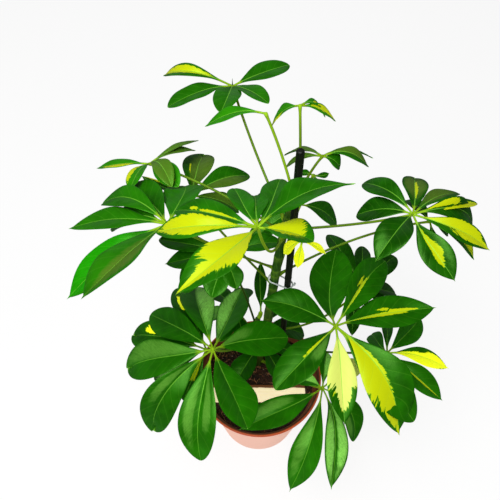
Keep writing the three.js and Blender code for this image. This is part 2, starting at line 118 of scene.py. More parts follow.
def paint(surface, **values):
    """Sets or links inputs of a surface node, named with underscores for their spaces."""
    connect(surface, {key.replace("_", " "): value for key, value in values.items()})


def new_material(name, colour, roughness, **values):
    """A material and its surface node, with the given colour, roughness and other values set."""
    material = bpy.data.materials.new(name)
    material.use_nodes = True
    surface = material.node_tree.nodes["Principled BSDF"]
    paint(surface, Base_Color=(*colour, 1), Roughness=roughness, **values)
    return material, surface


floor_white = new_material("floor_white", FLOOR_COLOUR, 0.9, Emission_Color=(1, 1, 1, 1),
                           Emission_Strength=FLOOR_GLOW)[0]
floor_corners = [(FLOOR_REACH * x, FLOOR_REACH * y, 0) for x, y in ((-1, -1), (1, -1), (1, 1), (-1, 1))]
floor_mesh = bpy.data.meshes.new("floor")
floor_mesh.from_pydata(floor_corners, [], [(0, 1, 2, 3)])
floor = add_object("floor", floor_mesh, floor_white)
floor.visible_glossy = False


# Pot: a thin nursery pot of terracotta-coloured plastic, formed from one sheet. Its rim is turned
# out into a band and a lip, which stiffen it, and its flat base has a ring of drain holes. The thin
# wall is paler than the lip, partly painted light, and all its colours glow a little, a painted
# glow; its inside and the lip's inner edge are painted darker, as painted shade.
POT_HEIGHT = 113
RIM_RADIUS = 65
BASE_RADIUS = 44
WALL = 1.6
BASE_THICKNESS = 2.4
BAND_HEIGHT = 14
BAND_STEP = 1.6
BAND_SLANT = 1
LIP_THICKNESS = 1.8
LIP_FACE = 3.4
LIP_EDGE = 0.5
DRAIN_HOLES = 8
DRAIN_RING_RADIUS = 31
DRAIN_RADIUS = 4.5
# The wall's pale colour is partly the plastic's own and partly painted light; the glow further down is
# painted light too.
POT_WALL_LIT_COLOUR = (0.98, 0.59, 0.47)
POT_SPECK_COLOUR = (0.90, 0.44, 0.31)
POT_LIP_COLOUR = (0.48, 0.075, 0.016)
# The lip's inner edge and the inside of the wall are painted darker: painted shade.
POT_LIP_INSIDE_SHADE = (0.06, 0.018, 0.008)
POT_INSIDE_SHADE = (0.12, 0.035, 0.015)
SOIL_DUST = (0.07, 0.035, 0.02)
POT_PAINTED_GLOW = 0.32

# Where its colours change: the heights of the lip's foot and the band's foot, the radius at the
# lip's inner edge, and the middle of the wall as slope and radius at the base, further out by
# BAND_OUT in the band.
LIP_FOOT_HEIGHTS = (0.1078, 0.1090)
BAND_FOOT_HEIGHTS = (0.0988, 0.1002)
LIP_INSIDE_RADII = (0.0630, 0.0643)
WALL_MIDDLE = (0.1556, 0.0427)
BAND_OUT = 0.0020


def add_node(tree, kind, inputs, output=0, **settings):
    """Adds a node with its settings and inputs, and gives one of its outputs."""
    node = tree.nodes.new(kind)
    for key, value in settings.items():
        setattr(node, key, value)
    connect(node, inputs)
    return node.outputs[output]


def maths(operation, *values):
    """One step of arithmetic on numbers and sockets, of which at least one is a socket."""
    tree = next(value.id_data for value in values if isinstance(value, bpy.types.NodeSocket))
    return add_node(tree, "ShaderNodeMath", dict(enumerate(values)), operation=operation)


def scaled(value, by, plus=0.0):
    """The value times by, plus another."""
    return maths("MULTIPLY_ADD", value, by, plus)


def mixed(share, first, second):
    """The first colour where share is 0 and the second where it is 1."""
    colours = {key: (*colour, 1) if isinstance(colour, tuple) else colour
               for key, colour in ((6, first), (7, second))}
    return add_node(share.id_data, "ShaderNodeMix", {0: share, **colours}, output=2, data_type="RGBA")


def eased(value, low, high):
    """0 below low and 1 above high, with a soft step between them."""
    inputs = {"Value": value, "From Min": low, "From Max": high}
    return add_node(value.id_data, "ShaderNodeMapRange", inputs, interpolation_type="SMOOTHSTEP")


def noise(place, scale, detail=2.0, roughness=0.5, stretch=None):
    """Cloudy noise from 0 to 1 at a place, with scale in waves per unit of the place, after the
    place is multiplied by a stretch of its own along each axis."""
    if stretch:
        place = add_node(place.id_data, "ShaderNodeMapping", {"Vector": place, "Scale": stretch})
    inputs = {"Vector": place, "Scale": scale, "Detail": detail, "Roughness": roughness}
    return add_node(place.id_data, "ShaderNodeTexNoise", inputs)


def object_place(material):
    """The point of the surface in metres, in the plant's own frame."""
    return add_node(material.node_tree, "ShaderNodeTexCoord", {}, output="Object")


def coordinate(place, axis):
    """One coordinate of a place."""
    return add_node(place.id_data, "ShaderNodeSeparateXYZ", {0: place}, output=axis)


def raise_surface(surface, height, strength, distance):
    """Raises the surface by a height from 0 to 1, at most distance metres."""
    inputs = {"Height": height, "Strength": strength, "Distance": distance}
    paint(surface, Normal=add_node(surface.id_data, "ShaderNodeBump", inputs))


def grid_quads(rows, columns):
    """Faces of a grid that is closed round its columns, with a strip of faces over each open end.
    The strip joins the first column to the last, the second to the last but one, and so on."""
    row, column = np.meshgrid(np.arange(rows - 1), np.arange(columns), indexing="ij")
    after = (column + 1) % columns
    side = np.stack([row * columns + column, row * columns + after,
                     (row + 1) * columns + after, (row + 1) * columns + column], -1)
    k = np.arange(columns // 2 - 1)
    start = np.stack([k, columns - 1 - k, columns - 2 - k, k + 1], -1)
    end = (rows - 1) * columns + start[:, ::-1]
    return np.concatenate([side.reshape(-1, 4), start, end])


def make_piece(name, grids, material, corner_angle=180):
    """One smooth mesh from several closed grids. A grid is points of shape (rows, columns, 3) in
    millimetres, with a dict of one value per point for the material to read. Each grid's faces
    are turned outwards by the sign of the volume they close. Edges that bend by more than
    corner_angle degrees are sharp."""
    points, quads, along, values, count = [], [], [], {}, 0
    for grid, marks in grids:
        rows, columns = grid.shape[:2]
        flat = grid.reshape(-1, 3)
        faces = grid_quads(rows, columns)
        a, b, c, d = (flat[faces[:, k]] for k in range(4))
        volume = np.einsum("ij,ij->i", np.cross(b - a, c - a), a + b + c).sum()
        volume += np.einsum("ij,ij->i", np.cross(c - a, d - a), a + c + d).sum()
        if volume < 0:
            faces = faces[:, ::-1]
        points.append(flat)
        quads.append(faces + count)
        along.append(np.stack([np.repeat(np.linspace(0, 1, rows), columns),
                               np.tile(np.linspace(0, 1, columns), rows)], -1))
        for key, value in marks.items():
            values.setdefault(key, []).append((count, np.broadcast_to(value, (rows, columns)).ravel()))
        count += rows * columns
    quads = np.concatenate(quads)
    mesh = bpy.data.meshes.new(name)
    mesh.from_pydata(np.concatenate(points) / 1000, [], quads)
    for key, parts in values.items():
        whole = np.zeros(count, np.float32)
        for first, part in parts:
            whole[first:first + len(part)] = part
        mesh.attributes.new(key, "FLOAT", "POINT").data.foreach_set("value", whole)
    layer = mesh.uv_layers.new(name="surface")
    layer.data.foreach_set("uv", np.concatenate(along)[quads.ravel()].astype(np.float32).ravel())
    mesh.validate()
    mesh.shade_smooth()
    if corner_angle < 180:
        mesh.set_sharp_from_angle(angle=math.radians(corner_angle))
    return add_object(name, mesh, material)


def dress(piece, slot, *nodes):
    """The piece rides on the plant's only body and stands for its nodes, which are hidden. slot is not
    used.
    """
    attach(piece, "root")
    if nodes:
        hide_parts(*nodes)


def turns(count):
    """Angles of equal steps round a circle."""
    return 2 * np.pi * np.arange(count) / count


def turned(profile, columns):
    """A profile of (radius, height) rows carried round the Z axis."""
    radius, height = np.array(profile, float).T
    x = radius[:, None] * np.cos(turns(columns))
    y = radius[:, None] * np.sin(turns(columns))
    return np.stack([x, y, np.broadcast_to(height[:, None], x.shape)], -1)


def unit(vectors):
    """Each vector at length 1."""
    return vectors / np.linalg.norm(vectors, axis=-1, keepdims=True)


def rounded(profile, radius):
    """The profile with each inner corner cut by a short arc: points on the quadratic curve that
    leaves one side, bends towards the corner and meets the next side, radius away from it."""
    profile = np.array(profile, float)
    rows = [profile[0]]
    for before, corner, after in zip(profile, profile[1:], profile[2:]):
        reach = min(radius, np.linalg.norm(before - corner) / 3, np.linalg.norm(after - corner) / 3)
        start = corner + unit(before - corner) * reach
        end = corner + unit(after - corner) * reach
        for share in np.linspace(0, 1, 4):
            rows.append((1 - share) ** 2 * start + 2 * share * (1 - share) * corner + share**2 * end)
    rows.append(profile[-1])
    return np.array(rows)


def pot_radius(z):
    """Outer radius of the plain wall at a height: a straight line from the base to the rim."""
    return BASE_RADIUS + (RIM_RADIUS - BAND_STEP - LIP_THICKNESS - BASE_RADIUS) * z / POT_HEIGHT


def closed_at_poles(piece):
    """Merges the points that meet at an axis, where a whole ring has radius 0."""
    shape = bmesh.new()
    shape.from_mesh(piece.data)
    bmesh.ops.remove_doubles(shape, verts=shape.verts, dist=1e-6)
    shape.to_mesh(piece.data)
    shape.free()
    return piece


terracotta, pot_surface = new_material("terracotta_plastic", POT_WALL_LIT_COLOUR, 0.42)
place = object_place(terracotta)
height = coordinate(place, "Z")
flat_place = add_node(place.id_data, "ShaderNodeVectorMath", {0: place, 1: (1, 1, 0)},
                      operation="MULTIPLY")
radius = add_node(place.id_data, "ShaderNodeVectorMath", {0: flat_place}, output="Value",
                  operation="LENGTH")
cloud = noise(place, 45, 5, 0.6)
speckle = noise(place, 900, 3, 0.7)
wall_middle = scaled(height, *WALL_MIDDLE)
wall_middle = scaled(eased(height, *BAND_FOOT_HEIGHTS), BAND_OUT, wall_middle)
inside_share = eased(maths("SUBTRACT", wall_middle, radius), -0.0004, 0.0004)
outside = mixed(scaled(speckle, 0.25), POT_WALL_LIT_COLOUR, POT_SPECK_COLOUR)
# Painted shade: the inside of the wall and the lip's inner edge are darker.
wall = mixed(inside_share, outside, POT_INSIDE_SHADE)
lip = mixed(eased(radius, *LIP_INSIDE_RADII), POT_LIP_INSIDE_SHADE, POT_LIP_COLOUR)
rim = mixed(eased(height, *LIP_FOOT_HEIGHTS), wall, lip)
dusty = scaled(eased(cloud, 0.48, 0.75), 0.35)
stained = mixed(scaled(dusty, inside_share), rim, SOIL_DUST)
# The pot's colours are also given out as a painted glow, which is painted light.
paint(pot_surface, Base_Color=stained, Emission_Color=stained, Emission_Strength=POT_PAINTED_GLOW,
      Roughness=scaled(cloud, 0.25, 0.3))
raise_surface(pot_surface, scaled(speckle, 0.3, cloud), 0.12, 0.0006)

band_foot = POT_HEIGHT - BAND_HEIGHT
band_radius = pot_radius(band_foot) + BAND_STEP
lip_foot = POT_HEIGHT - LIP_FACE
pot_profile = rounded([
    (0, 0),
    (BASE_RADIUS, 0),
    (pot_radius(band_foot), band_foot),
    (band_radius, band_foot + BAND_SLANT),
    (RIM_RADIUS - LIP_THICKNESS, lip_foot - LIP_EDGE),
    (RIM_RADIUS, lip_foot),
    (RIM_RADIUS, POT_HEIGHT - LIP_EDGE),
    (RIM_RADIUS - LIP_EDGE, POT_HEIGHT),
    (RIM_RADIUS - LIP_THICKNESS - WALL, POT_HEIGHT),
    (band_radius - WALL, band_foot + BAND_SLANT + WALL),
    (pot_radius(band_foot) - WALL, band_foot + BAND_SLANT),
    (pot_radius(BASE_THICKNESS) - WALL, BASE_THICKNESS),
    (0, BASE_THICKNESS),
], 1.2)
pot = closed_at_poles(make_piece("pot_shell", [(turned(pot_profile, 160), {})], terracotta))
drill = turned([(0, -3), (DRAIN_RADIUS, -3), (DRAIN_RADIUS, 6), (0, 6)], 24)
drills = closed_at_poles(make_piece("drills", [
    (drill + DRAIN_RING_RADIUS * np.array([math.cos(turn), math.sin(turn), 0]), {})
    for turn in turns(DRAIN_HOLES)
], terracotta))
drilling = pot.modifiers.new("drain_holes", "BOOLEAN")
drilling.operation = "DIFFERENCE"
drilling.object = drills
drilling.solver = "EXACT"
bpy.context.view_layer.update()
pot.data = bpy.data.meshes.new_from_object(pot.evaluated_get(bpy.context.evaluated_depsgraph_get()))
pot.modifiers.clear()
bpy.data.objects.remove(drills)
pot.data.shade_smooth()
pot.data.set_sharp_from_angle(angle=math.radians(50))
dress(pot, "pot_plastic", "pot")


# Soil: dark moist peat pressed into the pot to a little below its rim, with coarse crumbs, coir
# fibres and a few pale specks of perlite lying loose on top.
SOIL_FOOT = 3
SOIL_TOP = POT_HEIGHT - 12
SOIL_LUMP = 1.3
SOIL_EDGE_DROP = 3
SOIL_GAP = 0.3
SOIL_REACH = pot_radius(SOIL_TOP) - WALL - SOIL_GAP
SOIL_COLUMNS = 300
PEAT_COLOUR = (0.018, 0.009, 0.006)
PEAT_LIGHT = (0.17, 0.045, 0.018)
PERLITE_COLOUR = (0.80, 0.70, 0.58)
PERLITE_DIMPLE = (0.35, 0.27, 0.2)
FIBRES = 620
COIR_COLOUR = (0.85, 0.36, 0.17)
COIR_DARK = (0.10, 0.035, 0.016)
TAG_LENGTH = 99
TAG_WIDTH = 18
TAG_MIDDLE = (-1.5, -17)


def waves(x, y, size, count, seed):
    """A smooth random field from about -1 to 1: the sum of plane waves with random directions and
    phases, whose length is about size, over 1.6 times the square root of half their number."""
    draw = np.random.default_rng(seed)
    shape = (count,) + (1,) * np.ndim(x)
    turn = draw.uniform(0, 2 * np.pi, shape)
    length = size * draw.uniform(0.7, 1.4, shape)
    phase = draw.uniform(0, 2 * np.pi, shape)
    run = (np.cos(turn) * x + np.sin(turn) * y) * 2 * np.pi
    return np.sin(run / length + phase).sum(0) / math.sqrt(count / 2) / 1.6


def soil_height(x, y):
    """The soil's top: crossed long waves, random lumps of 9 and 3.5 mm, and a drop at the wall."""
    share = np.hypot(x, y) / SOIL_REACH
    swell = SOIL_LUMP * np.sin(x / 7 + 1.3 * np.sin(y / 11)) * np.cos(y / 8 - x / 19)
    rough = 0.55 * waves(x, y, 9, 40, 11) + 0.35 * waves(x, y, 3.5, 60, 12)
    return SOIL_TOP - SOIL_EDGE_DROP * share**8 + swell + rough


def beside_tag(x, y):
    """Whether places lie along the tag's length, and whether across its width, with some room."""
    return (abs(x - TAG_MIDDLE[0]) < TAG_LENGTH / 2 + 1), (abs(y - TAG_MIDDLE[1]) < TAG_WIDTH / 2 + 1.5)


soil_top = turned([(SOIL_REACH * share, 0) for share in np.linspace(0, 1, 90)[::-1]], SOIL_COLUMNS)
soil_top[..., 2] = soil_height(soil_top[..., 0], soil_top[..., 1])
soil_side = turned([(0, SOIL_FOOT), (pot_radius(SOIL_FOOT) - WALL - SOIL_GAP, SOIL_FOOT)], SOIL_COLUMNS)
peat, peat_surface = new_material("moist_peat", PEAT_COLOUR, 0.8)
place = object_place(peat)
grain = noise(place, 650, 6, 0.7)
lit = scaled(noise(place, 90, 3, 0.6), 0.5, scaled(grain, 0.7))
paint(peat_surface, Base_Color=mixed(eased(lit, 0.5, 0.85), PEAT_COLOUR, PEAT_LIGHT))
raise_surface(peat_surface, grain, 0.9, 0.0012)
soil = make_piece("soil_bed", [(np.concatenate([soil_side, soil_top]), {})], peat)
dress(closed_at_poles(soil), "peat", "soil")


def scattered(name, material, seed, count, low, high, flatness):
    """Small angular lumps on the soil: one ball of 20 faces repeated at random places, each with
    its own dents, size, squash and turn, part of its height sunk in, and small beside the tag."""
    draw = np.random.default_rng(seed)
    golden = (1 + math.sqrt(5)) / 2
    ball = np.array([(0, a, b * golden) for a in (-1, 1) for b in (-1, 1)])
    ball = np.concatenate([ball, ball[:, [2, 0, 1]], ball[:, [1, 2, 0]]])
    ball /= np.linalg.norm(ball[0])
    sides = np.linalg.norm(ball[:, None] - ball[None], axis=-1) < 1.1
    trios = np.array([(a, b, c) for a in range(12) for b in range(a + 1, 12)
                      for c in range(b + 1, 12) if sides[a, b] and sides[b, c] and sides[a, c]])
    a, b, c = (ball[trios[:, k]] for k in range(3))
    inward = (np.cross(b - a, c - a) * a).sum(1) < 0
    trios[inward] = trios[inward][:, ::-1]
    reach = SOIL_REACH * np.sqrt(draw.uniform(0, 1, count)) * 0.985
    turn = draw.uniform(0, 2 * np.pi, count)
    x, y = reach * np.cos(turn), reach * np.sin(turn)
    size = draw.uniform(low, high, count) * draw.uniform(0.6, 1, count)
    size = np.where(np.logical_and(*beside_tag(x, y)), size * 0.35, size)
    stretch = draw.uniform(0.6, 1.25, (count, 1, 3)) * [1, 1, flatness]
    dents = 1 + draw.uniform(-0.28, 0.28, (count, 12, 1))
    lump = ball[None] * dents * stretch * size[:, None, None] / 2
    spin = draw.uniform(0, 2 * np.pi, count)[:, None]
    across = lump[..., 0] * np.cos(spin) - lump[..., 1] * np.sin(spin) + x[:, None]
    back = lump[..., 0] * np.sin(spin) + lump[..., 1] * np.cos(spin) + y[:, None]
    height = lump[..., 2] + (soil_height(x, y) + size * flatness * 0.12)[:, None]
    points = np.stack([across, back, height], -1).reshape(-1, 3) / 1000
    faces = (trios[None] + 12 * np.arange(count)[:, None, None]).reshape(-1, 3)
    mesh = bpy.data.meshes.new(name)
    mesh.from_pydata(points, [], faces)
    return add_object(name, mesh, material)


dress(scattered("soil_crumbs", peat, 21, count=2600, low=1, high=3.6, flatness=0.8), "peat")
perlite, perlite_surface = new_material("perlite", PERLITE_COLOUR, 0.85)
dimple = noise(object_place(perlite), 1500, 3)
paint(perlite_surface, Base_Color=mixed(dimple, PERLITE_COLOUR, PERLITE_DIMPLE))
raise_surface(perlite_surface, dimple, 0.5, 0.0003)
dress(scattered("soil_perlite", perlite, 22, count=150, low=0.7, high=1.7, flatness=0.9), "peat")


def rod(path, radii, columns, ref):
    """A round rod along a path of shape (steps, 3), as a grid. A ring's plane is square to the path,
    and its first point lies towards ref. radii is one value, or one for each step."""
    ahead = unit(np.gradient(path, axis=0))
    first = unit(ref - (ahead @ ref)[:, None] * ahead)
    second = np.cross(ahead, first)
    turn = turns(columns)[:, None]
    ring = np.cos(turn) * first[:, None] + np.sin(turn) * second[:, None]
    return path[:, None] + ring * np.broadcast_to(radii, len(path))[:, None, None]


draw = np.random.default_rng(23)
fibres = []
for _ in range(FIBRES):
    reach, turn, facing = SOIL_REACH * 0.96 * math.sqrt(draw.random()), *draw.uniform(0, 2 * np.pi, 2)
    length, bend = draw.uniform(3, 11), draw.uniform(-1.6, 1.6)
    steps = np.linspace(-0.5, 0.5, 6)
    run = facing + bend * steps
    x = reach * math.cos(turn) + length * steps * np.cos(run)
    y = reach * math.sin(turn) + length * steps * np.sin(run)
    inside = np.minimum(1, SOIL_REACH * 0.98 / np.hypot(x, y))
    x, y = x * inside, y * inside
    lift = draw.uniform(0.2, 0.9)
    path = np.stack([x, y, soil_height(x, y) + 0.5 + lift * np.cos(steps * 3)], -1)
    if not all(beside.any() for beside in beside_tag(x, y)):
        fibres.append((rod(path, draw.uniform(0.14, 0.28), 4, (0, 0, 1)), {}))
coir, coir_surface = new_material("coir_fibre", COIR_COLOUR, 0.75)
tint = eased(noise(object_place(coir), 120, 2), 0.35, 0.65)
paint(coir_surface, Base_Color=mixed(tint, COIR_COLOUR, COIR_DARK))
dress(make_piece("soil_fibres", fibres, coir), "peat")


# Stems: two green woody shoots from the same roots, the tall one leaning a little to the right.
# Rings stand out where leaves grow or have fallen, and low down the green skin turns to bark.
MAIN_STEM = np.array([
    (-2, 20, 61, 4.6), (-1, 20, 101, 4.6), (5, 21, 165, 4.3), (9, 22, 225, 4.1),
    (13.5, 24, 299, 3.6), (16, 27.5, 322, 3.2), (19.5, 33, 343, 2.6), (27, 35, 366, 1.9),
])
SHORT_STEM = np.array([(-14, 25, 67, 3.2), (-13, 25, 101, 3.2), (-7, 26, 150, 2.9), (-2, 27, 190, 2.4)])
MAIN_RINGS = (112, 126, 141, 165, 178, 203, 222, 240, 256, 276, 283, 300, 322, 327, 335, 341, 349, 358)
SHORT_RINGS = (116, 133, 150, 158, 172, 186)
STEM_COLUMNS = 28
STEM_UNSEEN = 20
STEM_GREEN = (0.016, 0.075, 0.002)
STEM_STREAK = (0.05, 0.15, 0.005)
RING_COLOUR = (0.13, 0.27, 0.008)
BARK_COLOUR = (0.06, 0.08, 0.012)
BARK_STREAK = (0.13, 0.15, 0.03)


def smooth_line(rows, heights):
    """Middle and radius at each height, on cubic curves through the rows. A row's slope is that of
    the line between its two neighbours, so the curve has no corners."""
    z = rows[:, 2]
    slopes = np.gradient(rows, z, axis=0)
    k = np.clip(np.searchsorted(z, heights, side="right") - 1, 0, len(z) - 2)
    span = (z[k + 1] - z[k])[:, None]
    t = ((heights - z[k]) / span[:, 0])[:, None]
    return ((2 * t**3 - 3 * t**2 + 1) * rows[k] + (t**3 - 2 * t**2 + t) * span * slopes[k]
            + (3 * t**2 - 2 * t**3) * rows[k + 1] + (t**3 - t**2) * span * slopes[k + 1])


def stem(rows, rings, tip):
    """A rod along the stem's line, from STEM_UNSEEN above the line's foot in the soil. It is thicker
    by a narrow ridge at each ring and by five shallow flutes, and its end is drawn in over the last
    tip millimetres. ring marks how near a ridge is."""
    heights = np.linspace(rows[0, 2] + STEM_UNSEEN, rows[-1, 2], int((rows[-1, 2] - rows[0, 2]) / 0.9))
    line = smooth_line(rows, heights)
    gap = heights[:, None] - np.array(rings)
    ridge = np.exp(-(gap / 1.1) ** 2).sum(1) + 0.5 * np.exp(-((gap + 2.5) / 2.2) ** 2).sum(1)
    close = np.clip((heights[-1] - heights) / tip, 0, 1)
    radii = (line[:, 3] + 0.32 * ridge) * np.sqrt(1 - (1 - close) ** 2 + 0.02)
    middle = line[:, None, :3]
    flute = 0.042 * np.sin(5 * turns(STEM_COLUMNS)) * np.sin(heights / 17)[:, None]
    grid = middle + (rod(line[:, :3], radii, STEM_COLUMNS, (1, 0, 0)) - middle) * (1 + flute[..., None])
    return grid, {"ring": np.clip(ridge, 0, 1.2)[:, None]}


def mark(material, name):
    """One of the values that each point of a piece carries."""
    return add_node(material.node_tree, "ShaderNodeAttribute", {}, output="Fac", attribute_name=name)


stem_skin, stem_surface = new_material("stem_skin", STEM_GREEN, 0.5, Specular_IOR_Level=0.2)
place = object_place(stem_skin)
streak = noise(place, 520, 4, 0.6, (1, 1, 0.12))
blotch = noise(place, 95, 3, 0.55)
woody = eased(scaled(blotch, 0.13, coordinate(place, "Z")), 0.33, 0.15)
greens = mixed(eased(streak, 0.42, 0.72), STEM_GREEN, STEM_STREAK)
greens = mixed(scaled(mark(stem_skin, "ring"), 0.55), greens, RING_COLOUR)
barks = mixed(streak, BARK_COLOUR, BARK_STREAK)
paint(stem_surface, Base_Color=mixed(scaled(woody, 0.5), greens, barks))
raise_surface(stem_surface, scaled(streak, 0.7, blotch), 0.35, 0.0006)
dress(make_piece("stem_tall", [stem(MAIN_STEM, MAIN_RINGS, 5)], stem_skin), "green_stem", "main_stem")
dress(make_piece("stem_short", [stem(SHORT_STEM, SHORT_RINGS, 4)], stem_skin), "green_stem", "short_stem")


# Stake: a straight cane of black plastic pushed deep into the soil. It has fine moulded grooves
# along it, a low joint every so often, and a blunt rounded top.
STAKE_PLACE = (22.8, 20.2)
STAKE_RADIUS = 3
STAKE_FOOT = 60
STAKE_TOP = 427
STAKE_ROUNDING = 1.6
STAKE_JOINTS = (152, 213, 274, 335, 396)
STAKE_GROOVES = 12
STAKE_COLUMNS = 36
STAKE_COLOUR = (0.004, 0.005, 0.003)
STAKE_SCUFF = (0.02, 0.022, 0.018)

shoulder = STAKE_TOP - STAKE_ROUNDING
heights = np.concatenate([np.linspace(STAKE_FOOT, shoulder, 500),
                          shoulder + STAKE_ROUNDING * np.sin(np.linspace(0.2, 1, 7) * np.pi / 2)])
line = np.stack([0 * heights + STAKE_PLACE[0], 0 * heights + STAKE_PLACE[1], heights], -1)
gap = heights[:, None] - np.array(STAKE_JOINTS)
over = np.clip((heights - shoulder) / STAKE_ROUNDING, 0, 1)
radii = STAKE_RADIUS - 0.12 + 0.2 * np.exp(-(gap / 1.6) ** 2).sum(1)
radii -= 1.5 * (1 - np.sqrt(1 - over**2 * 0.98))
grooves = 1 - 0.018 * np.cos(STAKE_GROOVES * turns(STAKE_COLUMNS))[:, None]
stake_grid = rod(line, radii, STAKE_COLUMNS, (1, 0, 0))
stake_grid[..., :2] = line[:, None, :2] + (stake_grid[..., :2] - line[:, None, :2]) * grooves
black_plastic, stake_surface = new_material("black_plastic", STAKE_COLOUR, 0.42, Specular_IOR_Level=0.25)
scuff = noise(object_place(black_plastic), 900, 4, 0.65, (1, 1, 0.07))
paint(stake_surface, Base_Color=mixed(eased(scuff, 0.5, 0.8), STAKE_COLOUR, STAKE_SCUFF))
raise_surface(stake_surface, scuff, 0.2, 0.0004)
dress(make_piece("cane", [(stake_grid, {})], black_plastic), "black_plastic", "stake")


# Tie: one loop of thin clear plastic wire round the tall stem and the cane, a little higher at the
# stem, with its two ends twisted together beside the cane.
TIE_STEM_HEIGHT = 269
TIE_STAKE_HEIGHT = 262
TIE_RADIUS = 0.7
TIE_ROOM = 1.3
TWIST_RADIUS = 0.45
TIE_COLOUR = (0.40, 0.46, 0.45)
TIE_LIGHT = (0.78, 0.82, 0.80)

stem_place = smooth_line(MAIN_STEM, np.array([TIE_STEM_HEIGHT]))[0]
ends = [(np.array([*STAKE_PLACE, TIE_STAKE_HEIGHT]), STAKE_RADIUS + TIE_ROOM, -90),
        (np.array([*stem_place[:2], TIE_STEM_HEIGHT]), stem_place[3] + TIE_ROOM, 90)]
facing = math.atan2(STAKE_PLACE[1] - stem_place[1], STAKE_PLACE[0] - stem_place[0])
loop = []
for (middle, reach, start), (next_middle, next_reach, next_start) in (ends, ends[::-1]):
    turn = facing + np.radians(np.linspace(start, start + 180, 20))
    loop.append(middle + reach * np.stack([np.cos(turn), np.sin(turn), 0 * turn], -1))
    leave, turn = loop[-1][-1], facing + math.radians(next_start)
    meet = next_middle + next_reach * np.array([math.cos(turn), math.sin(turn), 0])
    loop.append(leave + (meet - leave) * np.linspace(0.08, 0.92, 8)[:, None])
loop = np.concatenate(loop)
loop_grid = rod(np.concatenate([loop[-2:], loop, loop[:2]]), TIE_RADIUS, 10, (0, 0, 1))[2:-1]
twist_steps = np.linspace(0, 1, 40)
twist_foot = ends[0][0] + np.array([STAKE_RADIUS + 1.6, -1.5, 0.3])
twists = []
for strand in (0, np.pi):
    swing = strand + twist_steps * 4 * np.pi
    path = twist_foot + np.stack([1.4 * np.sin(twist_steps * 2.2) + 0.55 * np.cos(swing),
                                  -0.8 * twist_steps + 0.55 * np.sin(swing), 5.5 * twist_steps], -1)
    twists.append((rod(path, TWIST_RADIUS, 8, (0, 1, 0.1)), {}))
clear_plastic, tie_surface = new_material("clear_plastic", TIE_COLOUR, 0.18)
haze = noise(object_place(clear_plastic), 700, 2)
paint(tie_surface, Base_Color=mixed(haze, TIE_COLOUR, TIE_LIGHT))
dress(make_piece("wire_tie", [(loop_grid, {}), *twists], clear_plastic), "clear_plastic", "tie")


# Tag: a thin strip of bare pale wood that lies across the soil, its long far edge darker. Fine grain
# runs along it, and it glows a little, a painted glow that brightens it under the leaves. Its
# length, width and middle are given with the soil, whose loose bits keep clear of it.
TAG_THICKNESS = 2
TAG_TILT = 8
TAG_EDGE = 0.3
TAG_CORNER = 1.5
TAG_PLACE = (*TAG_MIDDLE, SOIL_TOP + 2.6)
# Y in metres where the wood starts to turn dark towards its long far edge.
DARK_EDGE_FROM = (-0.0108, -0.0096)
TAG_COLOUR = (1.0, 0.83, 0.54)
TAG_GRAIN = (0.85, 0.62, 0.36)
TAG_DARK_EDGE = (0.11, 0.035, 0.01)
TAG_PAINTED_GLOW = 0.6

lengths = np.linspace(-0.5, 0.5, 160)
corner = np.clip((0.5 - abs(lengths)) * TAG_LENGTH / TAG_CORNER, 0, 1)
half_width = TAG_WIDTH / 2 - 1.2 * (1 - np.sqrt(1 - (1 - corner) ** 2))
section = []
for across, face in ((-1, -1), (1, -1), (1, 1), (-1, 1)):
    for share in (0, 1, 2, 3):
        turn = math.atan2(face, across) + math.radians(15 * share - 22.5)
        section.append((across, face, TAG_EDGE * math.cos(turn), TAG_EDGE * math.sin(turn)))
across, face, edge_y, edge_z = np.array(section).T
tag_y = across * (half_width[:, None] - TAG_EDGE) + edge_y
tag_z = face * (TAG_THICKNESS / 2 - TAG_EDGE) + edge_z + 0 * tag_y
tag_x = lengths[:, None] * TAG_LENGTH + 0 * tag_y
tag_z += 0.10 * waves(tag_x, tag_y, 40, 6, 31)
tilt = math.radians(TAG_TILT)
tag_grid = np.stack([tag_x, tag_y * math.cos(tilt) - tag_z * math.sin(tilt),
                     tag_y * math.sin(tilt) + tag_z * math.cos(tilt)], -1) + TAG_PLACE
pale_wood, tag_surface = new_material("pale_wood", TAG_COLOUR, 0.62)
place = object_place(pale_wood)
fine_grain = noise(place, 1900, 4, 0.6, (0.05, 1, 1))
broad_grain = noise(place, 380, 2, 0.5, (0.04, 1, 1))
dark_edge = eased(scaled(noise(place, 160, 3), 0.0022, coordinate(place, "Y")), *DARK_EDGE_FROM)
grained = scaled(eased(fine_grain, 0.52, 0.75), 0.5)
grained = scaled(eased(broad_grain, 0.5, 0.7), 0.25, grained)
wood = mixed(dark_edge, mixed(grained, TAG_COLOUR, TAG_GRAIN), TAG_DARK_EDGE)
# The wood's colour is also given out as a painted glow, painted light that brightens it under the leaves.
paint(tag_surface, Base_Color=wood, Emission_Color=wood, Emission_Strength=TAG_PAINTED_GLOW)
raise_surface(tag_surface, fine_grain, 0.25, 0.0003)
dress(make_piece("wooden_tag", [(tag_grid, {})], pale_wood, 60), "pale_wood", "tag")


# Leaves: each is one long petiole with a swollen foot that clasps the stem, a knuckle at its end,
# and leathery glossy leaflets on short stalks round the knuckle, like the ribs of an umbrella.
# Yellow patches without green run along the veins of some leaflets and end in ragged fingers.
BLADE_FOLD = 12
BLADE_THICKNESS = 0.36
STALK_SHARE = 0.1
STALK_RADIUS = 0.85
PETIOLE_FOOT_RADIUS = 2.3
PETIOLE_RADIUS = 1.05
KNUCKLE_RADIUS = 1.5
# Blades run from LEAF_DEEP to LEAF_BRIGHT by each leaf's lightness, which is partly tone and partly
# painted light and shade.
LEAF_DEEP = (0.004, 0.048, 0.0004)
LEAF_BRIGHT = (0.020, 0.21, 0.0008)
LEAF_MIDDLE = (0.07, 0.30, 0.005)
LEAF_YELLOW = (0.48, 0.56, 0.003)
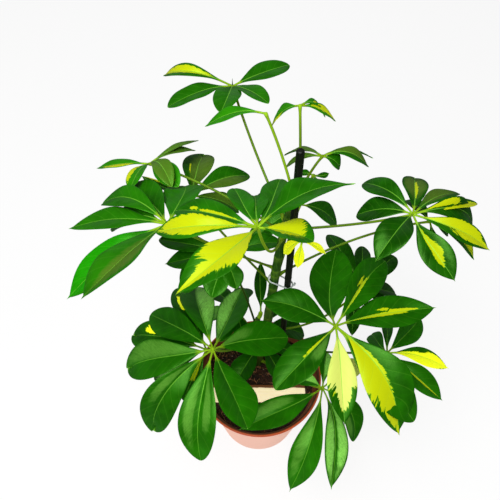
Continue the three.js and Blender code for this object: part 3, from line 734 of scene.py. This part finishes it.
# Lit yellow is painted light on yellow patches, and the glow below makes them give out painted light too.
LEAF_YELLOW_PAINTED_LIT = (0.80, 0.88, 0.012)
LEAF_CREAM = (0.64, 0.72, 0.14)
LIT_PAINTED_GLOW = 0.4
# Clouds of these colours lie on some leaflets: painted sheen, a painted reflection, an olive green that
# is partly the leaflets' own tone and partly painted sheen, and a bright green that is painted light.
PAINTED_LIGHT_AND_TONE_COLOURS = {
    "painted_sheen": (0.10, 0.30, 0.03),
    "painted_glare": (0.34, 0.88, 0.13),
    "olive": (0.085, 0.155, 0.014),
    "painted_lit_green": (0.008, 0.30, 0.0005),
}
LEAF_UNDER = (0.055, 0.22, 0.018)
LEAF_SHINE = (0.35, 1, 0.15, 1)
RIB_COLOUR = (0.17, 0.48, 0.035)
# A painted rim light along the leaflets' margins.
RIM_PAINTED_LIGHT = (0.24, 0.55, 0.06)
STALK_DARK = (0.010, 0.030, 0.004)
STALK_PALE = (0.26, 0.46, 0.010)
BUD_LEAF = "top_left"
BUD_LENGTH = 7
BUD_RADIUS = 0.55

# A leaf is its name, foot, knee and hub, the lean of its ring of leaflets (bearing, degrees), and the
# shade of its blades and of its petiole, from 0 for dark to 1 for pale. The blades' shade is partly
# their tone and partly painted light and shade; a dark petiole is painted shade. A leaflet is its
# bearing, rise, length, width and tip, then its roll, and its bow and arch in hundredths of its
# length, if they aren't 0, 0 and 7. Then come its patches, in hundredths: middle across (-100 to 100)
# and along (0 to 100), half width across, half length along, and a kind if it isn't plain yellow:
# cream, lit yellow, which is painted light with a painted glow, or a soft cloud of one of the
# leaflet colours: painted sheen, painted reflection, olive, which is partly tone and partly painted
# sheen, and a bright green that is painted light.
LEAVES = [
    ("top_left", (18, 31, 336), (-7, 80, 362), (-24, 127, 390), (-10, 20), 0.4, 0.3, [
     (-68, -8, 62, 15, "point", -24, -12, 28, (15, 58, 55, 46)),
     (-113, -3, 55, 22, "round", -13, 2, 7),
     (-171, 17, 50, 21, "round", -4, -4, 10),
     (145, 19, 51, 16, "round", 5, 3, 9),
     (58, -2, 55, 21, "round", 21, -1, 3)]),
    ("top_young", (24, 34, 358), (14, 52, 392), (1, 62, 420), (0, 0), 0.85, 0.75, [
     (-86, -19, 45, 13, "point", -2, 5, 11)]),
    ("top_shoot", (27, 35, 366), (27, 54, 392), (25, 68, 422), (0, 0), 0.95, 0.3, [
     (-79, -50, 30, 15, "point", 3, 14, 8, (-60, 75, 60, 30)),
     (83, -33, 32, 12, "point", -2, -9, 7, (-20, 65, 60, 42)),
     (65, -41, 29, 10, "point", 0, -14, 17, (0, 70, 40, 30))]),
    ("back_right", (23, 34, 353), (34, 56, 366), (48, 81, 358), (30, 20), 0.5, 0.3, [
     (-56, -29, 40, 12, "round", -4, 8, 10, (0, 50, 200, 100, "olive")),
     (-76, -36, 36, 10, "round", -22, 6, 10, (0, 50, 200, 100, "olive")),
     (102, -33, 18, 16, "round", 25, -2, 15),
     (90, -18, 40, 13, "point", 24, -8, 20, (-50, 50, 80, 80, "olive")),
     (78, -15, 45, 9, "point", -10, -8, 11)]),
    ("back_right_young", (21, 33.6, 348), (32, 54, 346), (42, 76, 341), (0, 0), 0.3, 0.3, [
     (-65, -14, 14, 8, "point"),
     (72, -10, 14, 6, "point", 10, 10, 0),
     (160, -10, 16, 6, "point")]),
    ("back_left", (16, 28, 326), (-36, 62, 346), (-92, 83, 347), (-48, 22), 1.0, 0.3, [
     (-83, -14, 47, 14, "point", 1, -3, 7, (-50, 50, 40, 32)),
     (-167, 19, 42, 15, "round", -1, -2, 11, (75, 50, 30, 35)),
     (47, -9, 51, 10, "point", 0, 6, 9, (0, 50, 200, 100, "olive")),
     (56, -12, 43, 12, "point", 11, 0, 13, (0, 50, 200, 100, "olive")),
     (148, 17, 44, 15, "round", -1, -7, 20, (0, 50, 200, 80, "olive")),
     (140, 12, 43, 19, "round", 11, -4, 10, (-10, 60, 15, 25))]),
    ("left", (12.5, 23.5, 282), (-34, 18, 318), (-69, 4, 369), (-90, 5), 0.5, 0.3, [
     (-34, -16, 66, 29, "round", -3, 3, 1),
     (7, -23, 63, 32, "round", -6, 8, 7),
     (-58, -16, 67, 21, "round", -5, 10, 14),
     (-87, -8, 72, 23, "point", 8, 8, 3),
     (-67, -33, 63, 23, "point", -9, 8, 13),
     (-126, -14, 84, 29, "point", 3, 1, 9, (20, 60, 120, 60, "painted_lit_green")),
     (-142, 3, 79, 35, "point", 24, -8, 8, (-30, 50, 60, 50, "olive"))]),
    ("left_inner", (11, 23, 256), (-26, 48, 282), (-60, 68, 324), (-20, 10), 0.25, 0.3, [
     (-56, -9, 54, 8, "point", -7, -7, 5, (80, 50, 25, 45)),
     (10, -5, 54, 28, "notch", (-50, 50, 12, 14), (30, 50, 90, 60, "olive")),
     (61, -5, 57, 23, "round", 12, -5, 8, (50, 50, 60, 50, "olive")),
     (96, -22, 44, 19, "round", 0, -4, 10, (-30, 50, 70, 50, "olive"))]),
    ("front_top", (16, 27.5, 322), (4, -14, 338), (-5, -26, 405), (0, 0), 0.5, 0.75, [
     (16, -18, 64, 20, "round", -11, 3, 2),
     (70, 14, 66, 30, "long", -19, -4, 11),
     (112, 6, 37, 30, "round", -24, -6, 2, (-25, 40, 75, 36)),
     (-83, -14, 70, 18, "point", -10, -6, 20, (12, 47, 84, 42)),
     (-138, 5, 70, 27, "point", 10, -10, 13, (5, 30, 105, 36), (0, 70, 32, 42)),
     (-64, -15, 64, 22, "round", (13, 38, 13, 28), (20, 74, 9, 8)),
     (-20, -16, 49, 18, "round", 16, -4, 4),
     (-3, -24, 46, 18, "round")]),
    ("hanging_young", (18, 30.6, 334), (40, 24, 340), (29, 8, 344), (0, 0), 0.6, 0.3, [
     (-101, -45, 19, 11, "point", 0, 0, 10, (0, 50, 300, 300, "lit")),
     (-168, -45, 21, 8, "point", (0, 50, 300, 300, "lit")),
     (103, -31, 22, 8, "point", -10, 0, 7, (0, 50, 300, 300, "lit"))]),
    ("right", (17, 29, 330), (80, 28, 336), (119, 40, 335), (0, 0), 0.15, 0.3, [
     (-36, -14, 57, 20, "round", -14, 4, 14),
     (-69, -26, 48, 23, "round", -11, 7, 8),
     (-142, 0, 56, 27, "point", 10, -4, 18),
     (14, -16, 57, 22, "notch", (12, 50, 15, 24), (0, 60, 90, 40, "olive")),
     (56, -11, 56, 18, "round", -18, -4, 8, (-30, 55, 90, 45, "olive")),
     (73, -7, 60, 14, "round", -12, 3, 8, (35, 60, 70, 50)),
     (82, -20, 59, 20, "round", 30, -12, 18, (-60, 30, 35, 25)),
     (112, -13, 65, 19, "point", 11, 0, 12, (-40, 40, 50, 50), (10, 72, 60, 30)),
     (151, -17, 60, 24, "point", 24, 3, 7, (-6, 42, 24, 30), (-30, 50, 18, 12), (12, 66, 16, 12))]),
    ("right_under", (11.7, 23.2, 270), (80, 51, 300), (146, 63, 296), (60, 10), 0.4, 0.3, [
     (99, -41, 26, 10, "point", 25, -5, 12),
     (131, -16, 48, 16, "point", 3, -6, 13, (-30, 50, 60, 45)),
     (-20, -20, 40, 18, "round"),
     (175, -35, 34, 14, "round")]),
    ("front_right", (1.6, 20.4, 128), (36, -22, 170), (57, -35, 289), (0, 0), 0.3, 0.3, [
     (-76, 14, 61, 28, "point", -5, 2, 12),
     (6, -9, 84, 36, "round", -5, -6, -9),
     (36, -6, 84, 28, "round", 26, -4, 2, (0, 26, 12, 36), (-22, 52, 9, 10)),
     (75, -7, 87, 31, "point", 0, -7, -7, (6, 32, 13, 40), (-8, 68, 9, 17), (-30, 47, 9, 7)),
     (-137, -1, 71, 30, "round", 16, -6, 11, (8, 24, 11, 26), (-50, 30, 40, 20, "painted_sheen")),
     (177, -18, 73, 23, "point", (0, 30, 140, 33, "cream"), (-10, 60, 55, 25, "cream"),
      (-5, 70, 30, 17, "cream")),
     (148, -22, 92, 37, "point", 14, -12, 14, (48, 26, 66, 44), (27, 64, 27, 36), (44, 82, 24, 16)),
     (139, -18, 92, 32, "round", 5, 0, 7)]),
    ("low_right", (3, 20.6, 140), (60, 0, 164), (118, -13, 194), (0, 0), 0.5, 0.05, [
     (-13, -35, 39, 16, "notch", -22, -2, 7),
     (11, -26, 52, 11, "round"),
     (43, -9, 59, 24, "round", 26, 1, 3),
     (100, -11, 59, 20, "point", -6, -4, 8, (30, 48, 72, 70, "lit"), (0, 84, 80, 28, "lit")),
     (133, -8, 62, 25, "point", -8, 2, 6, (8, 58, 9, 35))]),
    ("front_left", (5, 21, 165), (-28, -14, 190), (-42, -28, 233), (0, 0), 0.5, 0.3, [
     (-15, -21, 92, 32, "round", 8, -4, 8, (50, 60, 50, 50, "painted_glare")),
     (17, -21, 91, 27, "round", -4, 0, -2, (-50, 55, 46, 50, "painted_glare")),
     (70, -20, 76, 33, "round", 21, -5, -7, (-50, 20, 40, 30, "painted_sheen")),
     (156, -5, 74, 38, "round", -28, 2, 3),
     (-173, -29, 94, 34, "round", 10, 3, 11, (50, 50, 30, 36, "painted_sheen"), (-45, 42, 26, 30, "painted_sheen")),
     (-134, -36, 95, 32, "notch", -32, 14, 16, (45, 35, 30, 30, "painted_sheen")),
     (-90, -26, 91, 35, "notch", -16, 1, 9, (50, 50, 50, 50, "painted_sheen")),
     (-50, -23, 91, 29, "round", -21, 2, 4)]),
    ("left_low", (-7, 26, 150), (-36, 0, 172), (-50, -15, 205), (0, 0), 0.36, 0.3, [
     (-69, -19, 86, 30, "notch", -16, 3, 10, (45, 62, 34, 12, "lit")),
     (-24, -9, 82, 28, "round", 5, 0, 7, (-35, 66, 24, 14, "lit")),
     (-103, -35, 65, 24, "round", (30, 25, 40, 13), (-40, 50, 50, 40, "painted_glare")),
     (-151, -34, 52, 20, "round", (10, 25, 45, 28))]),
    ("low_front", (-0.7, 20.2, 110), (40, -14, 122), (60, -32, 156), (0, 0), 0.5, 0.3, [
     (-117, 0, 88, 29, "point", 4, -5, 8, (50, 55, 35, 30, "painted_sheen")),
     (-159, -26, 99, 30, "point", 21, -12, 17, (45, 42, 40, 42, "painted_sheen")),
     (179, -2, 91, 25, "point", -20, -7, 6, (50, 55, 42, 45, "painted_glare"), (-55, 50, 40, 45, "painted_glare")),
     (148, -19, 57, 24, "round", -12, -14, 17, (60, 60, 35, 30, "painted_sheen")),
     (11, -9, 42, 13, "round", (40, 60, 60, 50, "painted_glare")),
     (-58, -28, 28, 14, "round", 0, 5, 10, (50, 50, 60, 50, "painted_glare")),
     (54, -7, 52, 20, "round", 4, 0, 7, (0, 45, 140, 60, "cream"))]),
    ("right_inner", (5.8, 21.2, 178), (52, 14, 180), (93, 35, 228), (0, 0), 0.2, 0.3, [
     (-23, 3, 67, 22, "round", 14, -4, 13),
     (9, -8, 57, 16, "round"),
     (43, -6, 58, 22, "round"),
     (72, -34, 51, 20, "round"),
     (94, -45, 45, 18, "round"),
     (-167, -32, 43, 14, "point", 3, 5, 7)]),
    ("centre_left", (-4, 26.7, 172), (-14, 27, 240), (-30, 27, 296), (0, 0), 0.45, 0.05, [
     (-75, 2, 59, 21, "round", 3, 0, 7),
     (-91, -12, 52, 22, "point"),
     (-126, -19, 47, 24, "round", 0, 8, 12),
     (163, -5, 32, 17, "round"),
     (-163, -12, 38, 22, "round"),
     (79, 7, 48, 20, "round", -7, -3, 9)]),
    ("centre_back", (-6, 26.2, 158), (-14, 32, 172), (-22, 33, 190), (0, 0), 0.4, 0.3, [
     (-36, -21, 47, 20, "round"),
     (10, -27, 45, 20, "round"),
     (-79, -35, 43, 18, "round", (0, 50, 100, 50, "painted_glare")),
     (-150, -7, 35, 16, "round", (50, 50, 50, 50, "painted_sheen")),
     (170, -8, 31, 16, "round")]),
    ("centre_low", (-11.8, 25.2, 115), (-8, 14, 140), (1, 6, 171), (0, 0), 0.15, 0.3, [
     (-146, -8, 45, 26, "round", 18, 0, 7),
     (150, -7, 43, 24, "round", -22, 0, 7),
     (92, -20, 36, 16, "round")]),
    ("centre_right", (-7, 26, 150), (-4, 32, 154), (2, 34, 158), (0, 0), 0.1, 0.3, [
     (88, -25, 50, 28, "round", -7, 0, 7),
     (30, -15, 40, 17, "round")]),
    ("centre_upright", (-2, 27, 189), (0, 28, 190), (0.5, 31, 193), (0, 0), 0.15, 0.3, [
     (-1, 57, 53, 13, "point", 20, -4, 7)]),
    ("back_centre", (10, 22.4, 240), (24, 66, 262), (36, 94, 281), (0, 0), 0.25, 0.3, [
     (86, -42, 51, 22, "round", 15, -9, 5),
     (-123, -20, 62, 20, "round"),
     (-60, -20, 50, 20, "round"),
     (0, -20, 50, 20, "round")]),
]
# Outline of a leaflet from its wedge base to its tip: half width is the sine of pi times the share
# to one power, all to another, less a wedge at the base; and how far the tip's middle stands back.
TIPS = {
    "round": (1.42, 0.62, 0.012),
    "point": (1.24, 0.84, -0.03),
    "notch": (1.5, 0.55, 0.075),
    "long": (0.86, 1.6, -0.03),
}
TOP_COLUMNS = np.array([-1, -0.985, -0.93, -0.82, -0.66, -0.47, -0.28, -0.13, -0.045])
ACROSS = np.concatenate([TOP_COLUMNS, [0], -TOP_COLUMNS[::-1]])
COLUMNS = np.concatenate([ACROSS, ACROSS[-2:0:-1]])
UPPER = np.concatenate([np.ones(len(ACROSS)), -np.ones(len(ACROSS) - 2)])
STALK_ROWS = 6
BLADE_ROWS = 34


def heading(bearing, rise):
    """Unit direction of a bearing, clockwise from +Y seen from above, and a rise over the level."""
    b, e = math.radians(bearing), math.radians(rise)
    return np.array([math.sin(b) * math.cos(e), math.cos(b) * math.cos(e), math.sin(e)])


def spots(patches, kinds, s, t):
    """A field that is above 0 inside the patches of the given kinds and -3 far away from them."""
    fields = [1 - ((s - a / 100) / (wide / 100)) ** 4 - ((t - b / 100) / (long / 100)) ** 2
              for a, b, wide, long, *kind in patches if (kind or ["yellow"])[0] in kinds]
    return np.maximum.reduce(fields + [np.full(np.broadcast(s, t).shape, -3.0)])


def leaflet(hub, lean, row, tone_and_painted_light, draw):
    """One leaflet as a closed tube of flattened rings along its midrib.

    The midrib leaves the straight line from hub to tip by 4 * share * (1 - share) times the length,
    times arch / 100 upwards and bow / 100 sideways. A ring is a circle on the stalk and a thin lens
    on the blade. The halves of the blade fold up from the midrib and level off towards the margin,
    the margin waves, and shallow swellings lie between the side veins."""
    bearing, rise, length, width, tip, *rest = row
    patches = [value for value in rest if isinstance(value, tuple)]
    roll, bow, arch = rest[:len(rest) - len(patches)] or (0, 0, 7)
    ahead = heading(bearing, rise)
    side = unit(np.cross(ahead, heading(lean[0], 90 - lean[1])))
    roll = math.radians(roll)
    side = side * math.cos(roll) + np.cross(ahead, side) * math.sin(roll)
    up = np.cross(side, ahead)
    early, blunt, notch = TIPS[tip]
    t = (1 - np.cos(np.linspace(0, 1, BLADE_ROWS) ** 0.9 * np.pi)) / 2
    share = np.concatenate([np.linspace(0, STALK_SHARE, STALK_ROWS, endpoint=False),
                            STALK_SHARE + (1 - STALK_SHARE) * t])
    t = np.concatenate([np.zeros(STALK_ROWS), t])
    outline = np.abs(np.sin(np.pi * t**early)) ** blunt * (1 - 0.25 * (1 - t) ** 5)
    stalk_radius = STALK_RADIUS * (1 + 0.25 * (share < 0.03)) * np.clip(1 - t / 0.22, 0, 1) ** 0.5
    half = np.hypot(stalk_radius, outline * width / 2)
    thick = stalk_radius + (BLADE_THICKNESS - stalk_radius) * np.clip(t / 0.1, 0, 1)
    thick *= np.clip((1 - t) / 0.02, 0.15, 1)
    share, t, half, thick = (value[:, None] for value in (share, t, half, thick))
    s, top, blade = COLUMNS[None], UPPER[None], np.clip(t / 0.12, 0, 1)
    skew = draw.uniform(-0.02, 0.02)
    phase = draw.uniform(0, 2 * np.pi, 2)
    ripple = draw.uniform(0.5, 1.3) * width / 30
    fold = math.sin(math.radians(BLADE_FOLD)) * draw.uniform(0.8, 1.25)
    lens = np.where(blade > 0, np.sqrt(1 - s**4 * 0.999), np.sqrt(1 - s**2 + 1e-6))
    vein = t * 7 - np.abs(s) * 1.5 + 0.5 * (s > 0)
    lift = half * fold * (2.05 * (np.sqrt(s**2 + 0.004) - 0.063) - 0.95 * s**2)
    wave = np.sin(2 * np.pi * 1.6 * t + np.where(s > 0, *phase))
    swelling = 0.672 * np.sin(2 * np.pi * vein) * np.abs(s) * (1 - s**2)
    lift = (lift + (ripple * s**2 * wave + swelling) * np.sin(np.pi * t)) * blade
    off_middle = np.abs(s) * half
    ridge = 0.5 * np.exp(-(off_middle / 0.9) ** 2) * (1 - t) * blade
    groove = 0.18 * np.exp(-(off_middle / 0.7) ** 2) * (1 - t) * blade
    bend = 4 * length * share * (1 - share)
    height = lift + thick * lens * top - np.where(top > 0, groove, ridge) + arch / 100 * bend
    ease = np.clip((t - 0.78) / 0.22, 0, 1) ** 2
    back = notch * ease * np.exp(-(s / 0.42) ** 2)
    if tip == "notch":
        back = back + 0.03 * ease * np.exp(-((s - 0.75 * np.sign(skew)) / 0.3) ** 2)
    run = length * (share - back)
    sway = bow / 100 * bend + length * skew * 0.5 * np.sin(2 * np.pi * share)
    grid = hub + run[..., None] * ahead + (s * half + sway)[..., None] * side + height[..., None] * up
    return grid, {
        "across": s, "along": t, "vein": vein, "rib": off_middle, "under": 0.5 - 0.5 * top,
        "rim": half * (1 - np.abs(s)) + 0.16 * (1 - t) * length, "pale": 0.93,
        "green": np.clip((t - 0.015) / 0.06, 0, 1), "light": tone_and_painted_light + draw.uniform(-0.12, 0.12),
        "seed": draw.uniform(0, 40), "yellow": spots(patches, ("yellow", "cream", "lit"), s, t),
        **{kind: spots(patches, (kind,), s, t) for kind in ("cream", "lit", *PAINTED_LIGHT_AND_TONE_COLOURS)},
    }


def petiole(foot, knee, hub, shade):
    """A rod on the quadratic curve from foot over knee to hub. Its radius falls fast from the foot
    that clasps the stem and swells again just under the knuckle. It pales from its shade towards
    the hub and, unless it is dark, at the foot."""
    share = np.concatenate([np.linspace(0, 0.12, 9, endpoint=False), np.linspace(0.12, 1, 38)])
    path = np.outer((1 - share) ** 2, foot) + np.outer(2 * share * (1 - share), knee)
    path += np.outer(share**2, hub)
    reach = np.linalg.norm(hub - foot)
    distance = share * reach
    radius = PETIOLE_RADIUS + (PETIOLE_FOOT_RADIUS - PETIOLE_RADIUS) * np.exp(-(distance / 7) ** 2)
    radius = radius + 0.45 * np.exp(-((1 - share) * reach / 3) ** 2)
    ref = np.cross(knee - foot, hub - knee)
    # A petiole with a low share of pale green is dark: painted shade for petioles in the shadow of the
    # leaves above.
    pale = shade + (0.9 - shade) * share**5
    pale = np.maximum(pale, 0.85 * np.exp(-(distance / 9) ** 2) * (shade > 0.1))
    return rod(path, radius, 12, ref), {"pale": pale[:, None], "light": 0.5}


def knuckle(hub, toward):
    """A slightly flattened ball at the petiole's end, where the leaflets' stalks meet."""
    turn = np.linspace(0.02, np.pi - 0.02, 9)
    path = hub - toward * np.cos(turn)[:, None] * KNUCKLE_RADIUS * 0.85
    ref = np.cross(toward, [0.3, 0.2, 0.9])
    return rod(path, KNUCKLE_RADIUS * np.sin(turn), 14, ref), {"pale": 1}


leaf_skin, leaf_surface = new_material("leaf_skin", LEAF_BRIGHT, 0.34, Specular_IOR_Level=0.42,
                                       Specular_Tint=LEAF_SHINE)
place = object_place(leaf_skin)
marks = {name: mark(leaf_skin, name) for name in (
    "across", "along", "vein", "seed", "light", "rib", "rim", "under", "green", "pale", "yellow",
    "cream", "lit", *PAINTED_LIGHT_AND_TONE_COLOURS)}
# Patterns follow the side veins: one axis counts the veins, the next runs off the midrib, and the
# last sets each half of each leaflet apart.
half_seed = scaled(maths("SIGN", marks["across"]), 3, marks["seed"])
vein_place = add_node(leaf_skin.node_tree, "ShaderNodeCombineXYZ",
                      {0: marks["vein"], 1: maths("ABSOLUTE", marks["across"]), 2: half_seed})
fingers = noise(vein_place, 1, 5, 0.6, (3.4, 1.3, 1))
flecks = noise(vein_place, 1, 2, 0.5, (9, 5, 1))
grain = noise(vein_place, 1, 5, 0.65, (6, 2.5, 1))
leather = noise(vein_place, 1, 4, 0.7, (14, 9, 1))
mottle = noise(place, 70, 3, 0.55)
# Each noise is about 0.5 on average, so half its weight comes off again.
field = scaled(fingers, 2.6, maths("ADD", marks["yellow"], -1.3))
field = scaled(flecks, 0.7, maths("ADD", field, -0.35))
yellowed = eased(field, -0.02, 0.03)
# Lightness is partly the leaf's tone and partly painted light and shade.
tone_and_painted_light = scaled(maths("ADD", mottle, -0.5), 0.9, marks["light"])
greens = mixed(tone_and_painted_light, LEAF_DEEP, LEAF_BRIGHT)
greens = mixed(scaled(eased(field, -0.22, -0.06), 0.65), greens, LEAF_MIDDLE)
leather = scaled(eased(leather, 0.22, 0.62), 0.6, 0.3)
# Clouds of painted sheen, painted reflection, painted lit green and partly painted olive.
for kind, painted_light_or_tone_colour in PAINTED_LIGHT_AND_TONE_COLOURS.items():
    cloud = scaled(mottle, 1.2, maths("ADD", marks[kind], -0.6))
    cloud = scaled(grain, 1.4, maths("ADD", cloud, -0.7))
    greens = mixed(scaled(eased(cloud, -0.3, 1), leather), greens, painted_light_or_tone_colour)
# Lit yellow patches are painted light: a brighter yellow and a painted glow.
lit = scaled(eased(marks["lit"], -0.3, 0.1), yellowed)
creams = mixed(lit, LEAF_YELLOW, LEAF_YELLOW_PAINTED_LIT)
creams = mixed(eased(marks["cream"], -0.3, 0.1), creams, LEAF_CREAM)
rib = maths("DIVIDE", marks["rib"], scaled(marks["along"], -0.75, 0.95))
veined = eased(maths("PINGPONG", maths("ADD", marks["vein"], 0.25), 0.5), 0.06, 0)
blade = mixed(yellowed, greens, creams)
# Lighter midribs and veins, a painted rim light along the margins, and paler undersides.
for share, strength, colour in (
        (eased(rib, 0.75, 0.1), 0.75, RIB_COLOUR), (veined, 0.09, RIB_COLOUR),
        (eased(marks["rim"], 0.45, 0.15), 0.6, RIM_PAINTED_LIGHT), (marks["under"], 0.6, LEAF_UNDER)):
    blade = mixed(scaled(share, strength), blade, colour)
colour = mixed(marks["green"], mixed(marks["pale"], STALK_DARK, STALK_PALE), blade)
gloss = scaled(mottle, 0.16, scaled(marks["under"], 0.25, 0.24))
paint(leaf_surface, Base_Color=colour, Emission_Color=colour, Roughness=gloss,
      Emission_Strength=scaled(lit, LIT_PAINTED_GLOW))
pores = scaled(noise(place, 1400, 3, 0.6), 0.5)
raise_surface(leaf_surface, scaled(veined, -0.5, pores), 0.14, 0.0005)

for seed, (name, foot, knee, hub, lean, tone_and_painted_light, shade, leaflets) in enumerate(LEAVES, 100):
    draw = np.random.default_rng(seed)
    foot, knee, hub = (np.array(point, float) for point in (foot, knee, hub))
    grids = [petiole(foot, knee, hub, shade), knuckle(hub, unit(hub - knee))]
    grids += [leaflet(hub, lean, row, tone_and_painted_light, draw) for row in leaflets]
    if name == BUD_LEAF:
        rise = np.linspace(0, BUD_LENGTH, 12)
        spike = hub + np.stack([0 * rise, 0.02 * rise**2, rise], -1)
        thin = BUD_RADIUS * (1 - 0.8 * rise / BUD_LENGTH)
        grids.append((rod(spike, thin, 8, (1, 0, 0)), {"pale": 0.1}))
    dress(make_piece("foliage_" + name, grids, leaf_skin), "leaf", "leaf_" + name)
